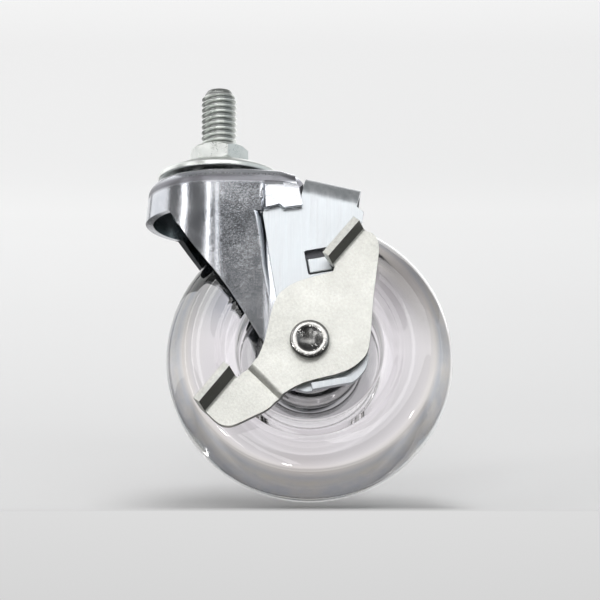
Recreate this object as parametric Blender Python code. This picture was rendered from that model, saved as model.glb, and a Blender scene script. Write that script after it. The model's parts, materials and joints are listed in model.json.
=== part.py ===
"""Swivel caster for a chair: threaded stem, clear 76 mm wheel and a side-lock brake.

The origin is on the swivel axis, in the plane of the stem's shoulder. +Z is up, +X points
from the swivel axis towards the axle, and the brake is on the -Y side.
All numbers below are millimetres; MM turns them into metres where a mesh is made.
"""

import math

import bmesh
import bpy
from mathutils import Matrix, Vector

MM = 0.001
GAP = 0.3

# Wheel and its place under the stem.
WHEEL_RADIUS = 38.1
WHEEL_HALF_WIDTH = 12.7
TREAD_CROWN = 17.0
AXLE_X = 24.3
AXLE_Z = -59.4

# Threaded stem, collar and swivel race, down the swivel axis from z = 0.
THREAD_RADIUS = 4.76
THREAD_LENGTH = 15.9
HEX_ACROSS_FLATS = 14.0
HEX_HEIGHT = 5.0
HEX_TURN = math.radians(12.4)
SHANK_RADIUS = 5.0
CAP_RADIUS = 16.3
CAP_THICKNESS = 1.7
CAP_RIM_TOP = -7.9
RACE_BALL_RADIUS = 1.985
UPPER_BALLS = 12
UPPER_BALL_CIRCLE = 10.4
LOWER_BALLS = 10
LOWER_BALL_CIRCLE = 8.6
STEM_HEAD_RADIUS = 7.2

# Fork: a 2 mm stamping with a round crown and two legs.
FORK_THICKNESS = 2.0
CROWN_TOP = -10.8
CROWN_FLAT_RADIUS = 15.5
CROWN_CORNER = 3.8
FRONT_FLATTENING = 0.4
SKIRT_RADIUS = 20.0
SKIRT_BOTTOM = -21.5
LEG_HALF_WIDTH = 15.6
LEG_STRAIGHT_Z = -62.0
RACE_SEAT_TOP = -12.5
RACE_SEAT_RADIUS = 13.0
FORK_HOLE_RADIUS = 6.4
REAR_LIP_HALF_WIDTH = 13.5
LEG_END_RADIUS = 11.5

# Axle and wheel bearings.
AXLE_RADIUS = 4.0
AXLE_HEAD_RADIUS = 5.2
AXLE_HEAD_HEIGHT = 2.2
AXLE_FAR_HEAD_RADIUS = 6.5
WASHER_RADIUS = 7.5
BEARING_RADIUS = 10.7
BEARING_WIDTH = 7.0
BEARING_FACE = 12.2
BEARING_BALLS = 7
BEARING_BALL_RADIUS = 1.55
BEARING_BALL_CIRCLE = 7.7
INNER_RACE_RADIUS = 5.85
OUTER_RACE_BORE = 9.55

# Wheel core.
CORE_RADIUS = 22.1
RECESS_RADIUS = 19.05
HUB_RADIUS = 13.6
HUB_HALF_LENGTH = 12.4
WEB_HALF_WIDTH = 5.0
BEARING_SHOULDER_RADIUS = 9.2

# Brake: a sliding shoe plate outside the near leg and a lever outside the shoe.
BRAKE_TILT = math.radians(10.0)
SHOE_THICKNESS = 1.8
SHOE_MIDDLE_Y = -16.8
SHOE_TRAVEL = 1.8
SHOE_BEND_RADIUS = 2.6
LEVER_THICKNESS = 2.5
LEVER_MIDDLE_Y = -19.25
PEDAL_STEP = 1.7
TAB_LENGTH = 8.2
TAB_LEAN = math.radians(20.0)
WINDOW = (3.0, 9.95, 18.5, 25.15)

ROUND = 40
ROUND_SMALL = 24
ROUND_WHEEL = 48


# ---------------------------------------------------------------- helpers

def clear_scene():
    for item in list(bpy.data.objects):
        bpy.data.objects.remove(item, do_unlink=True)


def material(name, colour, roughness, metallic, transmission=0.0):
    made = bpy.data.materials.new(name)
    made.use_nodes = True
    shader = made.node_tree.nodes["Principled BSDF"]
    shader.inputs["Base Color"].default_value = (*colour, 1.0)
    shader.inputs["Roughness"].default_value = roughness
    shader.inputs["Metallic"].default_value = metallic
    shader.inputs["Transmission Weight"].default_value = transmission
    made.diffuse_color = (*colour, 1.0)
    return made


def add_object(name, mesh_data, look=None):
    """Turn a bmesh into a scene object; its points are in millimetres."""
    bmesh.ops.scale(mesh_data, vec=(MM, MM, MM), verts=mesh_data.verts)
    mesh = bpy.data.meshes.new(name)
    mesh_data.to_mesh(mesh)
    mesh_data.free()
    made = bpy.data.objects.new(name, mesh)
    bpy.context.collection.objects.link(made)
    if look is not None:
        mesh.materials.append(look)
    return made


def make_guide(item):
    """A guide only shapes other pieces, so it is shown as wire and left out of the part."""
    item.hide_render = True
    item.display_type = "WIRE"
    return item


def boolean(target, tool, operation):
    modifier = target.modifiers.new(operation.lower(), "BOOLEAN")
    modifier.operation = operation
    modifier.object = tool
    modifier.solver = "EXACT"


def smooth_faces(item, angle=math.radians(32.0)):
    item.data.shade_smooth()
    item.data.set_sharp_from_angle(angle=angle)


def turned(name, profile, look=None, closed=True, steps=ROUND, centre=(0.0, 0.0, 0.0), along_y=False):
    """Turn (radius, height) points round an axis: +Z, or +Y where along_y is set.

    A closed profile makes a ring. An open one starts and ends on the axis.
    """
    shape = bmesh.new()
    rows = []
    for radius, height in profile:
        if radius == 0.0:
            rows.append([shape.verts.new((0.0, 0.0, height))])
            continue
        row = []
        for step in range(steps):
            angle = 2.0 * math.pi * step / steps
            row.append(shape.verts.new((radius * math.cos(angle), radius * math.sin(angle), height)))
        rows.append(row)
    pairs = list(zip(rows, rows[1:]))
    if closed:
        pairs.append((rows[-1], rows[0]))
    for first, second in pairs:
        for step in range(steps):
            after = (step + 1) % steps
            corners = [first[step % len(first)], first[after % len(first)]]
            corners += [second[after % len(second)], second[step % len(second)]]
            face = list(dict.fromkeys(corners))
            if len(face) > 2:
                shape.faces.new(face)
    if along_y:
        turn = Matrix.Rotation(-math.pi / 2.0, 3, "X")
        bmesh.ops.rotate(shape, matrix=turn, verts=shape.verts)
    bmesh.ops.translate(shape, vec=centre, verts=shape.verts)
    bmesh.ops.recalc_face_normals(shape, faces=shape.faces)
    made = add_object(name, shape, look)
    smooth_faces(made)
    return made


def prism(name, outline, low_y, high_y, look=None):
    """Extrude an outline of (x, z) points between two y planes."""
    shape = bmesh.new()
    corners = [shape.verts.new((x, low_y, z)) for x, z in outline]
    face = shape.faces.new(corners)
    grown = bmesh.ops.extrude_face_region(shape, geom=[face])
    moved = [item for item in grown["geom"] if isinstance(item, bmesh.types.BMVert)]
    bmesh.ops.translate(shape, vec=(0.0, high_y - low_y, 0.0), verts=moved)
    bmesh.ops.recalc_face_normals(shape, faces=shape.faces)
    return add_object(name, shape, look)


def loft(name, rings, look=None):
    """Join closed rings of points, each with the same count, and cap both ends."""
    shape = bmesh.new()
    rows = [[shape.verts.new(point) for point in ring] for ring in rings]
    count = len(rows[0])
    for lower, upper in zip(rows, rows[1:]):
        for step in range(count):
            after = (step + 1) % count
            shape.faces.new((lower[step], lower[after], upper[after], upper[step]))
    shape.faces.new(rows[0])
    shape.faces.new(rows[-1])
    bmesh.ops.recalc_face_normals(shape, faces=shape.faces)
    return add_object(name, shape, look)


def sheet(name, panels, thickness, look):
    """Fold flat panels, which share their edge points, into a plate of even thickness."""
    shape = bmesh.new()
    for panel in panels:
        shape.faces.new([shape.verts.new(point) for point in panel])
    bmesh.ops.remove_doubles(shape, verts=shape.verts, dist=0.001)
    bmesh.ops.recalc_face_normals(shape, faces=shape.faces)
    made = add_object(name, shape, look)
    solid = made.modifiers.new("thickness", "SOLIDIFY")
    solid.thickness = thickness * MM
    solid.offset = 0.0
    solid.use_even_offset = True
    return made


def bend_rows(base, rise, inward, angle, radius, length, steps=4):
    """Rows of points from a base edge round a bend, then straight on for a length."""
    rise = Vector(rise).normalized()
    inward = Vector(inward).normalized()
    offsets = []
    for step in range(steps + 1):
        part = angle * step / steps
        offsets.append(rise * radius * math.sin(part) + inward * radius * (1.0 - math.cos(part)))
    heading = rise * math.cos(angle) + inward * math.sin(angle)
    offsets.append(offsets[-1] + heading * length)
    return [[Vector(point) + offset for point in base] for offset in offsets]


def panels_between(rows):
    """Four-cornered panels between neighbouring rows of points."""
    panels = []
    for first, second in zip(rows, rows[1:]):
        for step in range(len(first) - 1):
            panels.append([first[step], first[step + 1], second[step + 1], second[step]])
    return panels


def arc(centre, radius, start, end, steps):
    """Points on an arc, from one angle to another in degrees."""
    points = []
    for step in range(steps + 1):
        angle = math.radians(start + (end - start) * step / steps)
        points.append((centre[0] + radius * math.cos(angle), centre[1] + radius * math.sin(angle)))
    return points


def brake_point(across, up):
    """A point of the tilted brake plate, measured from the axle, as (x, z)."""
    x = AXLE_X + across * math.cos(BRAKE_TILT) - up * math.sin(BRAKE_TILT)
    z = AXLE_Z + across * math.sin(BRAKE_TILT) + up * math.cos(BRAKE_TILT)
    return (x, z)


def brake_points(pairs, y):
    """(across, up) pairs of the brake plate as points at one depth."""
    places = [brake_point(across, up) for across, up in pairs]
    return [Vector((x, y, z)) for x, z in places]


def brake_box(left, right, low, high):
    """A rectangle square to the brake plate, as (x, z) corners."""
    corners = [(left, low), (right, low), (right, high), (left, high)]
    return [brake_point(across, up) for across, up in corners]


# ---------------------------------------------------------------- stem and swivel race

def make_stem(look):
    top = THREAD_LENGTH
    chamfer = 1.0
    shank_end = -20.9
    profile = [
        (0.0, top), (THREAD_RADIUS - chamfer, top), (THREAD_RADIUS, top - chamfer),
        (THREAD_RADIUS, -HEX_HEIGHT / 2.0), (SHANK_RADIUS, -HEX_HEIGHT / 2.0), (SHANK_RADIUS, shank_end),
        (STEM_HEAD_RADIUS, shank_end), (STEM_HEAD_RADIUS, shank_end - 0.9),
        (STEM_HEAD_RADIUS - 1.6, shank_end - 2.1), (0.0, shank_end - 2.1),
    ]
    stem = turned("threaded_stem", profile, look, closed=False)
    corner_radius = HEX_ACROSS_FLATS / 2.0 / math.cos(math.pi / 6.0)
    shape = bmesh.new()
    centre = Matrix.Translation((0.0, 0.0, -HEX_HEIGHT / 2.0)) @ Matrix.Rotation(-HEX_TURN, 4, "Z")
    bmesh.ops.create_cone(
        shape, cap_ends=True, segments=6, radius1=corner_radius, radius2=corner_radius,
        depth=HEX_HEIGHT, matrix=centre,
    )
    collar = make_guide(add_object("stem_collar_guide", shape))
    face_radius = HEX_ACROSS_FLATS / 2.0
    chamfer_profile = [
        (0.0, 1e-4), (face_radius, 1e-4), (corner_radius + 0.2, -0.8),
        (corner_radius + 0.2, -HEX_HEIGHT - 1.0), (0.0, -HEX_HEIGHT - 1.0),
    ]
    cone = make_guide(turned("stem_chamfer_guide", chamfer_profile, closed=False))
    boolean(collar, cone, "INTERSECT")
    boolean(stem, collar, "UNION")


def make_cap(look):
    inner = SHANK_RADIUS + GAP
    top = -HEX_HEIGHT - GAP
    rim = CAP_RIM_TOP
    thick = CAP_THICKNESS
    profile = [
        (inner, top), (7.2, top), (8.6, top - 0.8), (12.2, top - 0.9), (14.6, rim),
        (CAP_RADIUS - 0.4, rim), (CAP_RADIUS, rim - 0.4), (CAP_RADIUS, rim - thick), (14.0, rim - thick),
        (12.0, top - 0.9 - thick), (8.3, top - 0.8 - thick), (6.9, top - thick), (inner, top - thick),
    ]
    turned("top_race_cap", profile, look)


def make_lower_cup(look):
    inner = SHANK_RADIUS + GAP
    profile = [
        (inner, -19.1), (10.7, -19.1), (11.1, -18.7), (11.1, -15.8), (12.4, -15.8),
        (12.4, -19.6), (11.4, -20.6), (inner, -20.6),
    ]
    turned("lower_race_cup", profile, look, steps=ROUND_SMALL)


def make_ball(name, radius, centre, look):
    shape = bmesh.new()
    bmesh.ops.create_icosphere(shape, subdivisions=2, radius=radius, matrix=Matrix.Translation(centre))
    made = add_object(name, shape, look)
    made.data.shade_smooth()


def make_race_balls(look):
    rows = (
        ("upper_ball", UPPER_BALLS, UPPER_BALL_CIRCLE, -10.2),
        ("lower_ball", LOWER_BALLS, LOWER_BALL_CIRCLE, -16.8),
    )
    for name, count, circle, height in rows:
        for step in range(count):
            angle = 2.0 * math.pi * (step + 0.5) / count
            centre = (circle * math.cos(angle), circle * math.sin(angle), height)
            make_ball(f"{name}_{step + 1:02d}", RACE_BALL_RADIUS, centre, look)


# ---------------------------------------------------------------- fork

def crown_reach(z):
    """Outer half-width of the fork at a height: corner, flaring skirt, then the legs."""
    corner_z = CROWN_TOP - CROWN_CORNER
    if z >= corner_z:
        rise = min(z - corner_z, CROWN_CORNER)
        return CROWN_FLAT_RADIUS + math.sqrt(CROWN_CORNER ** 2 - rise ** 2)
    corner_reach = CROWN_FLAT_RADIUS + CROWN_CORNER
    if z >= SKIRT_BOTTOM:
        part = (corner_z - z) / (corner_z - SKIRT_BOTTOM)
        return corner_reach + (SKIRT_RADIUS - corner_reach) * part
    part = max(0.0, (z - LEG_STRAIGHT_Z) / (SKIRT_BOTTOM - LEG_STRAIGHT_Z))
    return LEG_HALF_WIDTH + (SKIRT_RADIUS - LEG_HALF_WIDTH) * part ** 2


def fork_ring(z, inset, rear):
    """One level of the fork: half an ellipse round the swivel axis, then straight sides."""
    front = crown_reach(max(z, SKIRT_BOTTOM)) - FRONT_FLATTENING - inset
    half = crown_reach(z) - inset
    ring = [(rear, -half, z)]
    for step in range(19):
        angle = math.radians(270.0 - 10.0 * step)
        ring.append((front * math.cos(angle), half * math.sin(angle), z))
    ring.append((rear, half, z))
    return ring


def fork_levels(top):
    corner_z = CROWN_TOP - CROWN_CORNER
    levels = []
    for step in range(6):
        angle = math.radians(18.0 * step)
        levels.append(corner_z + CROWN_CORNER * math.cos(angle))
    levels = [z for z in levels if z < top] + [-18.0, SKIRT_BOTTOM]
    levels += [-25.0, -29.0, -34.0, -40.0, -47.0, -55.0, LEG_STRAIGHT_Z, -80.0]
    return [top] + levels


# Side view of the legs, as (x, z) points.
NEAR_FRONT = [(-13.7, SKIRT_BOTTOM), (-6.9, -31.6), (-2.1, -37.4), (2.5, -42.8),
              (8.4, -51.8), (12.3, -58.0)]
FAR_FRONT = [(-11.3, SKIRT_BOTTOM), (-5.0, -29.8), (0.3, -37.2), (4.9, -45.0),
             (9.8, -53.5), (12.3, -58.0)]
LEG_REAR = [(34.9, -55.0), (33.8, -42.0), (31.9, -30.5), (28.8, -25.0), (22.7, -21.9)]
CROWN_REAR = [(22.4, -21.7), (21.0, -14.6), (20.7, CROWN_TOP + 1.0)]
POCKET_EDGE = [(9.2, -22.9), (9.7, -24.4), (10.5, -30.1), (11.4, -37.8), (12.5, -42.7), (13.3, -48.0)]
HOOK_EDGE = [(22.9, -21.9), (17.5, -22.6), (16.5, -21.6), (11.7, -22.8)]


def leg_end():
    """The round end of a leg, from its front edge under the axle to its rear edge."""
    return arc((AXLE_X, AXLE_Z), LEG_END_RADIUS, 184.0, 352.0, 12)


def shifted(points, distance):
    return [(x + distance, z) for x, z in points]


def make_fork(look):
    outer_levels = fork_levels(CROWN_TOP)
    inner_top = CROWN_TOP - FORK_THICKNESS
    inner_levels = fork_levels(inner_top)
    outer = [fork_ring(z, 0.0, 46.0) for z in outer_levels]
    fork = loft("fork", outer, look)
    inner = [fork_ring(z, FORK_THICKNESS, 50.0) for z in inner_levels]
    inside = make_guide(loft("fork_inside_guide", inner))
    boolean(fork, inside, "DIFFERENCE")

    for name, front, low_y, high_y in (("near", NEAR_FRONT, -40.0, 0.0), ("far", FAR_FRONT, 0.0, 40.0)):
        waste = [(-40.0, SKIRT_BOTTOM)] + front + leg_end() + LEG_REAR + CROWN_REAR
        waste += [(60.0, CROWN_TOP + 1.0), (60.0, -90.0), (-40.0, -90.0)]
        cutter = make_guide(prism(f"fork_{name}_waste_guide", waste, low_y, high_y))
        boolean(fork, cutter, "DIFFERENCE")

    # The near leg is set inwards behind the brake: cut the outer wall, add the inner plate.
    pocket_outer = -LEG_HALF_WIDTH
    pocket_inner = pocket_outer + FORK_THICKNESS
    pocket = POCKET_EDGE + [(15.0, -90.0), (60.0, -90.0), (60.0, -21.9)] + HOOK_EDGE
    pocket_guide = make_guide(prism("fork_pocket_guide", pocket, -40.0, pocket_outer))
    boolean(fork, pocket_guide, "DIFFERENCE")

    web = shifted(POCKET_EDGE, 0.7) + list(reversed(shifted(POCKET_EDGE, -1.3)))
    web_guide = make_guide(prism("fork_web_guide", web, -24.0, pocket_inner))
    solid_levels = [z for z in outer_levels if -70.0 < z]
    solid = make_guide(loft("fork_solid_guide", [fork_ring(z, 0.0, 46.0) for z in solid_levels]))
    boolean(web_guide, solid, "INTERSECT")
    boolean(fork, web_guide, "UNION")

    plate = shifted(POCKET_EDGE, -1.3) + [(8.3, -52.0)] + NEAR_FRONT[-1:] + leg_end() + LEG_REAR
    plate += [(22.1, -21.7), (20.6, -14.6), (20.6, inner_top + 1.0), (7.6, inner_top + 1.0)]
    plate_guide = make_guide(prism("fork_pocket_plate_guide", plate, pocket_outer, pocket_inner))
    boolean(fork, plate_guide, "UNION")

    # A lug on the leg reaches into the shoe's window, with room above it for the shoe's travel.
    left, right, low, high = WINDOW
    lug = brake_box(left + 0.35, right - 0.35, low + 0.35, high - SHOE_TRAVEL - 0.4)
    lug_guide = make_guide(prism("fork_lug_guide", lug, SHOE_MIDDLE_Y - 0.8, pocket_inner - 0.5))
    boolean(fork, lug_guide, "UNION")

    # The crown's rear edge slopes down over the tread.
    lip = [(18.0, CROWN_TOP), (20.4, CROWN_TOP), (22.8, CROWN_TOP - 1.7), (21.7, CROWN_TOP - 3.3),
           (20.0, inner_top - 0.1), (18.0, inner_top)]
    lip_guide = make_guide(prism("fork_lip_guide", lip, -REAR_LIP_HALF_WIDTH, REAR_LIP_HALF_WIDTH))
    boolean(fork, lip_guide, "UNION")

    # The ball race is pressed down into the crown.
    seat_bottom = RACE_SEAT_TOP - FORK_THICKNESS
    seat_rim = RACE_SEAT_RADIUS + 1.5
    seat = [(0.0, inner_top + 0.5), (seat_rim, inner_top + 0.5), (seat_rim, inner_top - 0.2),
            (RACE_SEAT_RADIUS, seat_bottom), (0.0, seat_bottom)]
    boolean(fork, make_guide(turned("fork_seat_guide", seat, closed=False)), "UNION")
    dish = [(0.0, CROWN_TOP + 1.0), (RACE_SEAT_RADIUS + 1.4, CROWN_TOP + 1.0),
            (RACE_SEAT_RADIUS, RACE_SEAT_TOP), (0.0, RACE_SEAT_TOP)]
    boolean(fork, make_guide(turned("fork_dish_guide", dish, closed=False)), "DIFFERENCE")
    hole = [(0.0, CROWN_TOP + 1.0), (FORK_HOLE_RADIUS, CROWN_TOP + 1.0),
            (FORK_HOLE_RADIUS, seat_bottom - 1.0), (0.0, seat_bottom - 1.0)]
    hole_guide = make_guide(turned("fork_hole_guide", hole, closed=False, steps=ROUND_SMALL))
    boolean(fork, hole_guide, "DIFFERENCE")

    bore = axle_bore_guide("fork_axle_guide", AXLE_RADIUS + GAP)
    boolean(fork, bore, "DIFFERENCE")
    return fork


def axle_bore_guide(name, radius):
    """A cylinder on the axle, longer than the whole caster is wide."""
    half = 40.0
    profile = [(0.0, half), (radius, half), (radius, -half), (0.0, -half)]
    centre = (AXLE_X, 0.0, AXLE_Z)
    return make_guide(turned(name, profile, closed=False, steps=ROUND_SMALL, centre=centre, along_y=True))


# ---------------------------------------------------------------- axle, bearings and wheel

def on_axle(name, profile, look, closed=True, steps=ROUND_SMALL):
    """Turn (radius, y) points round the axle."""
    return turned(name, profile, look, closed, steps, (AXLE_X, 0.0, AXLE_Z), along_y=True)


def make_axle(steel):
    near_head = LEVER_MIDDLE_Y - LEVER_THICKNESS / 2.0 - GAP
    near_face = near_head - AXLE_HEAD_HEIGHT
    far_head = LEG_HALF_WIDTH + GAP
    profile = [
        (0.0, near_face + 1.7), (3.5, near_face), (4.5, near_face), (AXLE_HEAD_RADIUS, near_face + 0.7),
        (AXLE_HEAD_RADIUS, near_head), (AXLE_RADIUS, near_head), (AXLE_RADIUS, far_head),
        (AXLE_FAR_HEAD_RADIUS, far_head), (AXLE_FAR_HEAD_RADIUS - 0.5, far_head + 1.2),
        (AXLE_FAR_HEAD_RADIUS - 2.6, far_head + 2.3), (0.0, far_head + 2.6),
    ]
    on_axle("axle_rivet", profile, steel, closed=False)
    bore = AXLE_RADIUS + GAP
    half = BEARING_FACE - BEARING_WIDTH - GAP
    on_axle("bearing_spacer", [(bore, half), (6.0, half), (6.0, -half), (bore, -half)], steel)
    for name, side in (("near", -1.0), ("far", 1.0)):
        low = (BEARING_FACE + GAP) * side
        high = (LEG_HALF_WIDTH - FORK_THICKNESS - GAP) * side
        washer = [(bore, low), (WASHER_RADIUS, low), (WASHER_RADIUS, high), (bore, high)]
        on_axle(f"axle_washer_{name}", washer, steel)


def make_bearing(name, side, steel, shield_look):
    """A deep-groove ball bearing whose outer face looks to one side of the wheel."""
    bore = AXLE_RADIUS + GAP
    face = BEARING_FACE
    back = face - BEARING_WIDTH
    groove = 0.8
    inner = [(bore, back), (INNER_RACE_RADIUS, back), (INNER_RACE_RADIUS, face), (bore, face)]
    outer = [(OUTER_RACE_BORE, back), (BEARING_RADIUS, back),
             (BEARING_RADIUS, face), (OUTER_RACE_BORE, face)]
    shield = [(INNER_RACE_RADIUS + 0.4, face - groove), (OUTER_RACE_BORE - GAP, face - groove),
              (OUTER_RACE_BORE - GAP, face - 0.3), (INNER_RACE_RADIUS + 0.4, face - 0.3)]
    on_axle(f"{name}_bearing_inner_race", [(r, y * side) for r, y in inner], steel)
    on_axle(f"{name}_bearing_outer_race", [(r, y * side) for r, y in outer], steel)
    on_axle(f"{name}_bearing_shield", [(r, y * side) for r, y in shield], shield_look)
    middle = (face + back) / 2.0 * side
    for step in range(BEARING_BALLS):
        angle = 2.0 * math.pi * step / BEARING_BALLS
        x = AXLE_X + BEARING_BALL_CIRCLE * math.cos(angle)
        z = AXLE_Z + BEARING_BALL_CIRCLE * math.sin(angle)
        make_ball(f"{name}_bearing_ball_{step + 1}", BEARING_BALL_RADIUS, (x, middle, z), steel)


def make_wheel(tyre_look, core_look):
    half = WHEEL_HALF_WIDTH
    crown_centre = WHEEL_RADIUS - TREAD_CROWN
    edge_angle = math.asin((half - 1.2) / TREAD_CROWN)
    tread = []
    for step in range(9):
        angle = edge_angle * (1.0 - step / 4.0)
        tread.append((crown_centre + TREAD_CROWN * math.cos(angle), TREAD_CROWN * math.sin(angle)))
    shoulder = tread[0][0]
    inner = CORE_RADIUS + GAP
    side = [(inner, half - 0.3), (inner + 0.3, half), (shoulder - 1.6, half), (shoulder - 0.5, half - 0.4)]
    profile = side + tread + [(radius, -y) for radius, y in reversed(side)]
    on_axle("wheel_tyre", profile, tyre_look, steps=ROUND_WHEEL)

    bore = BEARING_RADIUS + GAP
    hub = HUB_HALF_LENGTH
    web = WEB_HALF_WIDTH
    seat = BEARING_FACE - BEARING_WIDTH - GAP
    one_side = [
        (BEARING_SHOULDER_RADIUS, seat), (bore, seat), (bore, hub), (HUB_RADIUS, hub),
        (HUB_RADIUS + 0.3, web + 0.9), (HUB_RADIUS + 1.2, web), (RECESS_RADIUS - 1.2, web),
        (RECESS_RADIUS - 0.3, web + 0.9), (RECESS_RADIUS, half), (CORE_RADIUS, half),
    ]
    profile = one_side + [(radius, -y) for radius, y in reversed(one_side)]
    on_axle("wheel_core", profile, core_look, steps=ROUND_WHEEL)


# ---------------------------------------------------------------- brake

def make_shoe(look):
    """The brake plate: bent over the tread at its top and outwards at its bottom."""
    y = SHOE_MIDDLE_Y
    top_line = [Vector((23.5, 0.0, -13.3)), Vector((38.1, 0.0, -16.6))]
    along = (top_line[1] - top_line[0]).normalized()
    rise = Vector((-along.z, 0.0, along.x))
    drop = SHOE_BEND_RADIUS + SHOE_THICKNESS / 2.0
    base = [point - rise * drop + Vector((0.0, y, 0.0)) for point in top_line]
    flange = bend_rows(base, rise, (0.0, 1.0, 0.0), math.radians(103.0), SHOE_BEND_RADIUS, 14.0)

    foot_up = -11.0 - SHOE_THICKNESS / 2.0
    foot_base = []
    for across in (-1.5, 9.3):
        x, z = brake_point(across, foot_up + 1.0)
        foot_base.append(Vector((x, y, z)))
    x, z = brake_point(0.0, 1.0)
    down = Vector((AXLE_X - x, 0.0, AXLE_Z - z))
    foot = bend_rows(foot_base, down, (0.0, -1.0, 0.0), math.radians(90.0), 1.0, 1.9, steps=3)

    left_side = [(-1.5, foot_up - 0.9), (-3.2, foot_up - 0.8), (-5.0, foot_up + 0.1), (-6.4, foot_up + 1.8),
                 (-6.7, foot_up + 3.6), (-6.0, 37.0), (-5.4, 38.4), (-2.0, 39.4), (4.6, 39.0)]
    right_side = [(20.4, 33.0), (19.6, 30.6), (14.9, 26.0), (14.7, -6.2), (13.6, -8.8), (11.6, -10.9),
                  (9.3, foot_up - 0.4)]
    plate = brake_points(left_side, y) + base + brake_points(right_side, y)
    plate += [foot_base[1], foot_base[0]]
    panels = [plate] + panels_between(flange) + panels_between(foot)
    shoe = sheet("brake_shoe", panels, SHOE_THICKNESS, look)

    window = brake_box(*WINDOW)
    boolean(shoe, make_guide(prism("shoe_window_guide", window, -20.0, -14.0)), "DIFFERENCE")
    radius = AXLE_RADIUS + GAP
    slot = [brake_point(u, w) for u, w in arc((0.0, 0.0), radius, 180.0, 360.0, 12)]
    slot += [brake_point(u, w + SHOE_TRAVEL + 0.1) for u, w in arc((0.0, 0.0), radius, 0.0, 180.0, 12)]
    boolean(shoe, make_guide(prism("shoe_slot_guide", slot, -20.0, -14.0)), "DIFFERENCE")
    return shoe


# Outline of the lever's flat part, anticlockwise from the joggle, as (x, z) points.
LEVER_RIGHT = [(20.5, -71.7), (23.3, -70.5), (26.8, -69.5), (31.5, -68.3), (35.0, -66.9), (37.8, -64.7),
               (39.5, -62.2), (40.2, -58.5), (40.6, -54.0), (41.0, -48.4), (42.0, -40.0), (42.6, -34.2),
               (42.1, -31.6), (40.9, -30.0)]
LEVER_TAB_BASE = [(39.2, -29.3), (31.0, -39.1)]
LEVER_LEFT = [(30.5, -40.4), (24.5, -42.1), (20.7, -43.4), (17.8, -45.2), (15.7, -47.5), (14.2, -51.9),
              (12.7, -58.6), (11.8, -61.3), (10.9, -63.5)]
JOGGLE = [(9.5, -65.3), (17.7, -73.4)]
PEDAL_TOP = [(6.7, -67.6)]
PEDAL_TAB_BASE = [(5.5, -68.8), (-2.4, -78.5)]
PEDAL_ROUND = [(-0.6, -80.3), (1.1, -81.5), (2.9, -81.9), (5.0, -81.5),
               (9.8, -79.2), (13.3, -77.4), (15.5, -75.3)]


def make_lever(look):
    y = LEVER_MIDDLE_Y
    pedal_y = y + PEDAL_STEP
    flat_outline = JOGGLE[1:] + LEVER_RIGHT + LEVER_TAB_BASE + LEVER_LEFT + JOGGLE[:1]
    flat = [Vector((px, y, pz)) for px, pz in flat_outline]
    step = Vector((-1.1, PEDAL_STEP, -1.1))
    joggle_top = [Vector((px, y, pz)) for px, pz in JOGGLE]
    joggle_bottom = [point + step for point in joggle_top]
    edge = PEDAL_TOP + PEDAL_TAB_BASE + PEDAL_ROUND
    pedal = [joggle_bottom[0]] + [Vector((px, pedal_y, pz)) for px, pz in edge] + [joggle_bottom[1]]
    panels = [flat, pedal] + panels_between([joggle_top, joggle_bottom])
    for base, height in ((LEVER_TAB_BASE, y), (PEDAL_TAB_BASE, pedal_y)):
        start, end = [Vector((px, height, pz)) for px, pz in base]
        along = (end - start).normalized()
        away = Vector((along.z, 0.0, -along.x))
        angle = math.pi / 2.0 - TAB_LEAN
        rows = bend_rows([start, end], away, (0.0, -1.0, 0.0), angle, 2.0, TAB_LENGTH - 2.5, steps=3)
        panels += panels_between(rows)
    lever = sheet("brake_lever", panels, LEVER_THICKNESS, look)
    boolean(lever, axle_bore_guide("lever_axle_guide", AXLE_RADIUS + GAP), "DIFFERENCE")
    return lever


# ---------------------------------------------------------------- assembly

def main():
    clear_scene()
    zinc = material("bright_zinc", (0.72, 0.73, 0.75), 0.22, 1.0)
    satin_zinc = material("satin_zinc", (0.70, 0.70, 0.70), 0.42, 1.0)
    lever_steel = material("tumbled_steel", (0.74, 0.74, 0.71), 0.55, 1.0)
    rivet_steel = material("rivet_steel", (0.50, 0.50, 0.49), 0.28, 1.0)
    ball_steel = material("ball_steel", (0.66, 0.66, 0.67), 0.10, 1.0)
    shield_steel = material("shield_steel", (0.42, 0.42, 0.43), 0.35, 1.0)
    clear_tyre = material("clear_polyurethane", (0.93, 0.90, 0.92), 0.05, 0.0, 1.0)
    clear_core = material("clear_core", (0.94, 0.93, 0.95), 0.04, 0.0, 1.0)

    make_stem(satin_zinc)
    make_cap(satin_zinc)
    make_lower_cup(zinc)
    make_race_balls(ball_steel)
    smooth_faces(make_fork(zinc))
    make_axle(rivet_steel)
    make_bearing("near", -1.0, ball_steel, shield_steel)
    make_bearing("far", 1.0, ball_steel, shield_steel)
    make_wheel(clear_tyre, clear_core)
    make_shoe(zinc)
    make_lever(lever_steel)


main()
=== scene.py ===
"""Looks of the swivel caster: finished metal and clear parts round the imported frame.

Points are given in millimetres in the frame's own axes, and MM turns them into metres.
+Z is up along the stem, +X points from the swivel axis to the axle, the brake is at -Y.
"""

import json
import math

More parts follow.
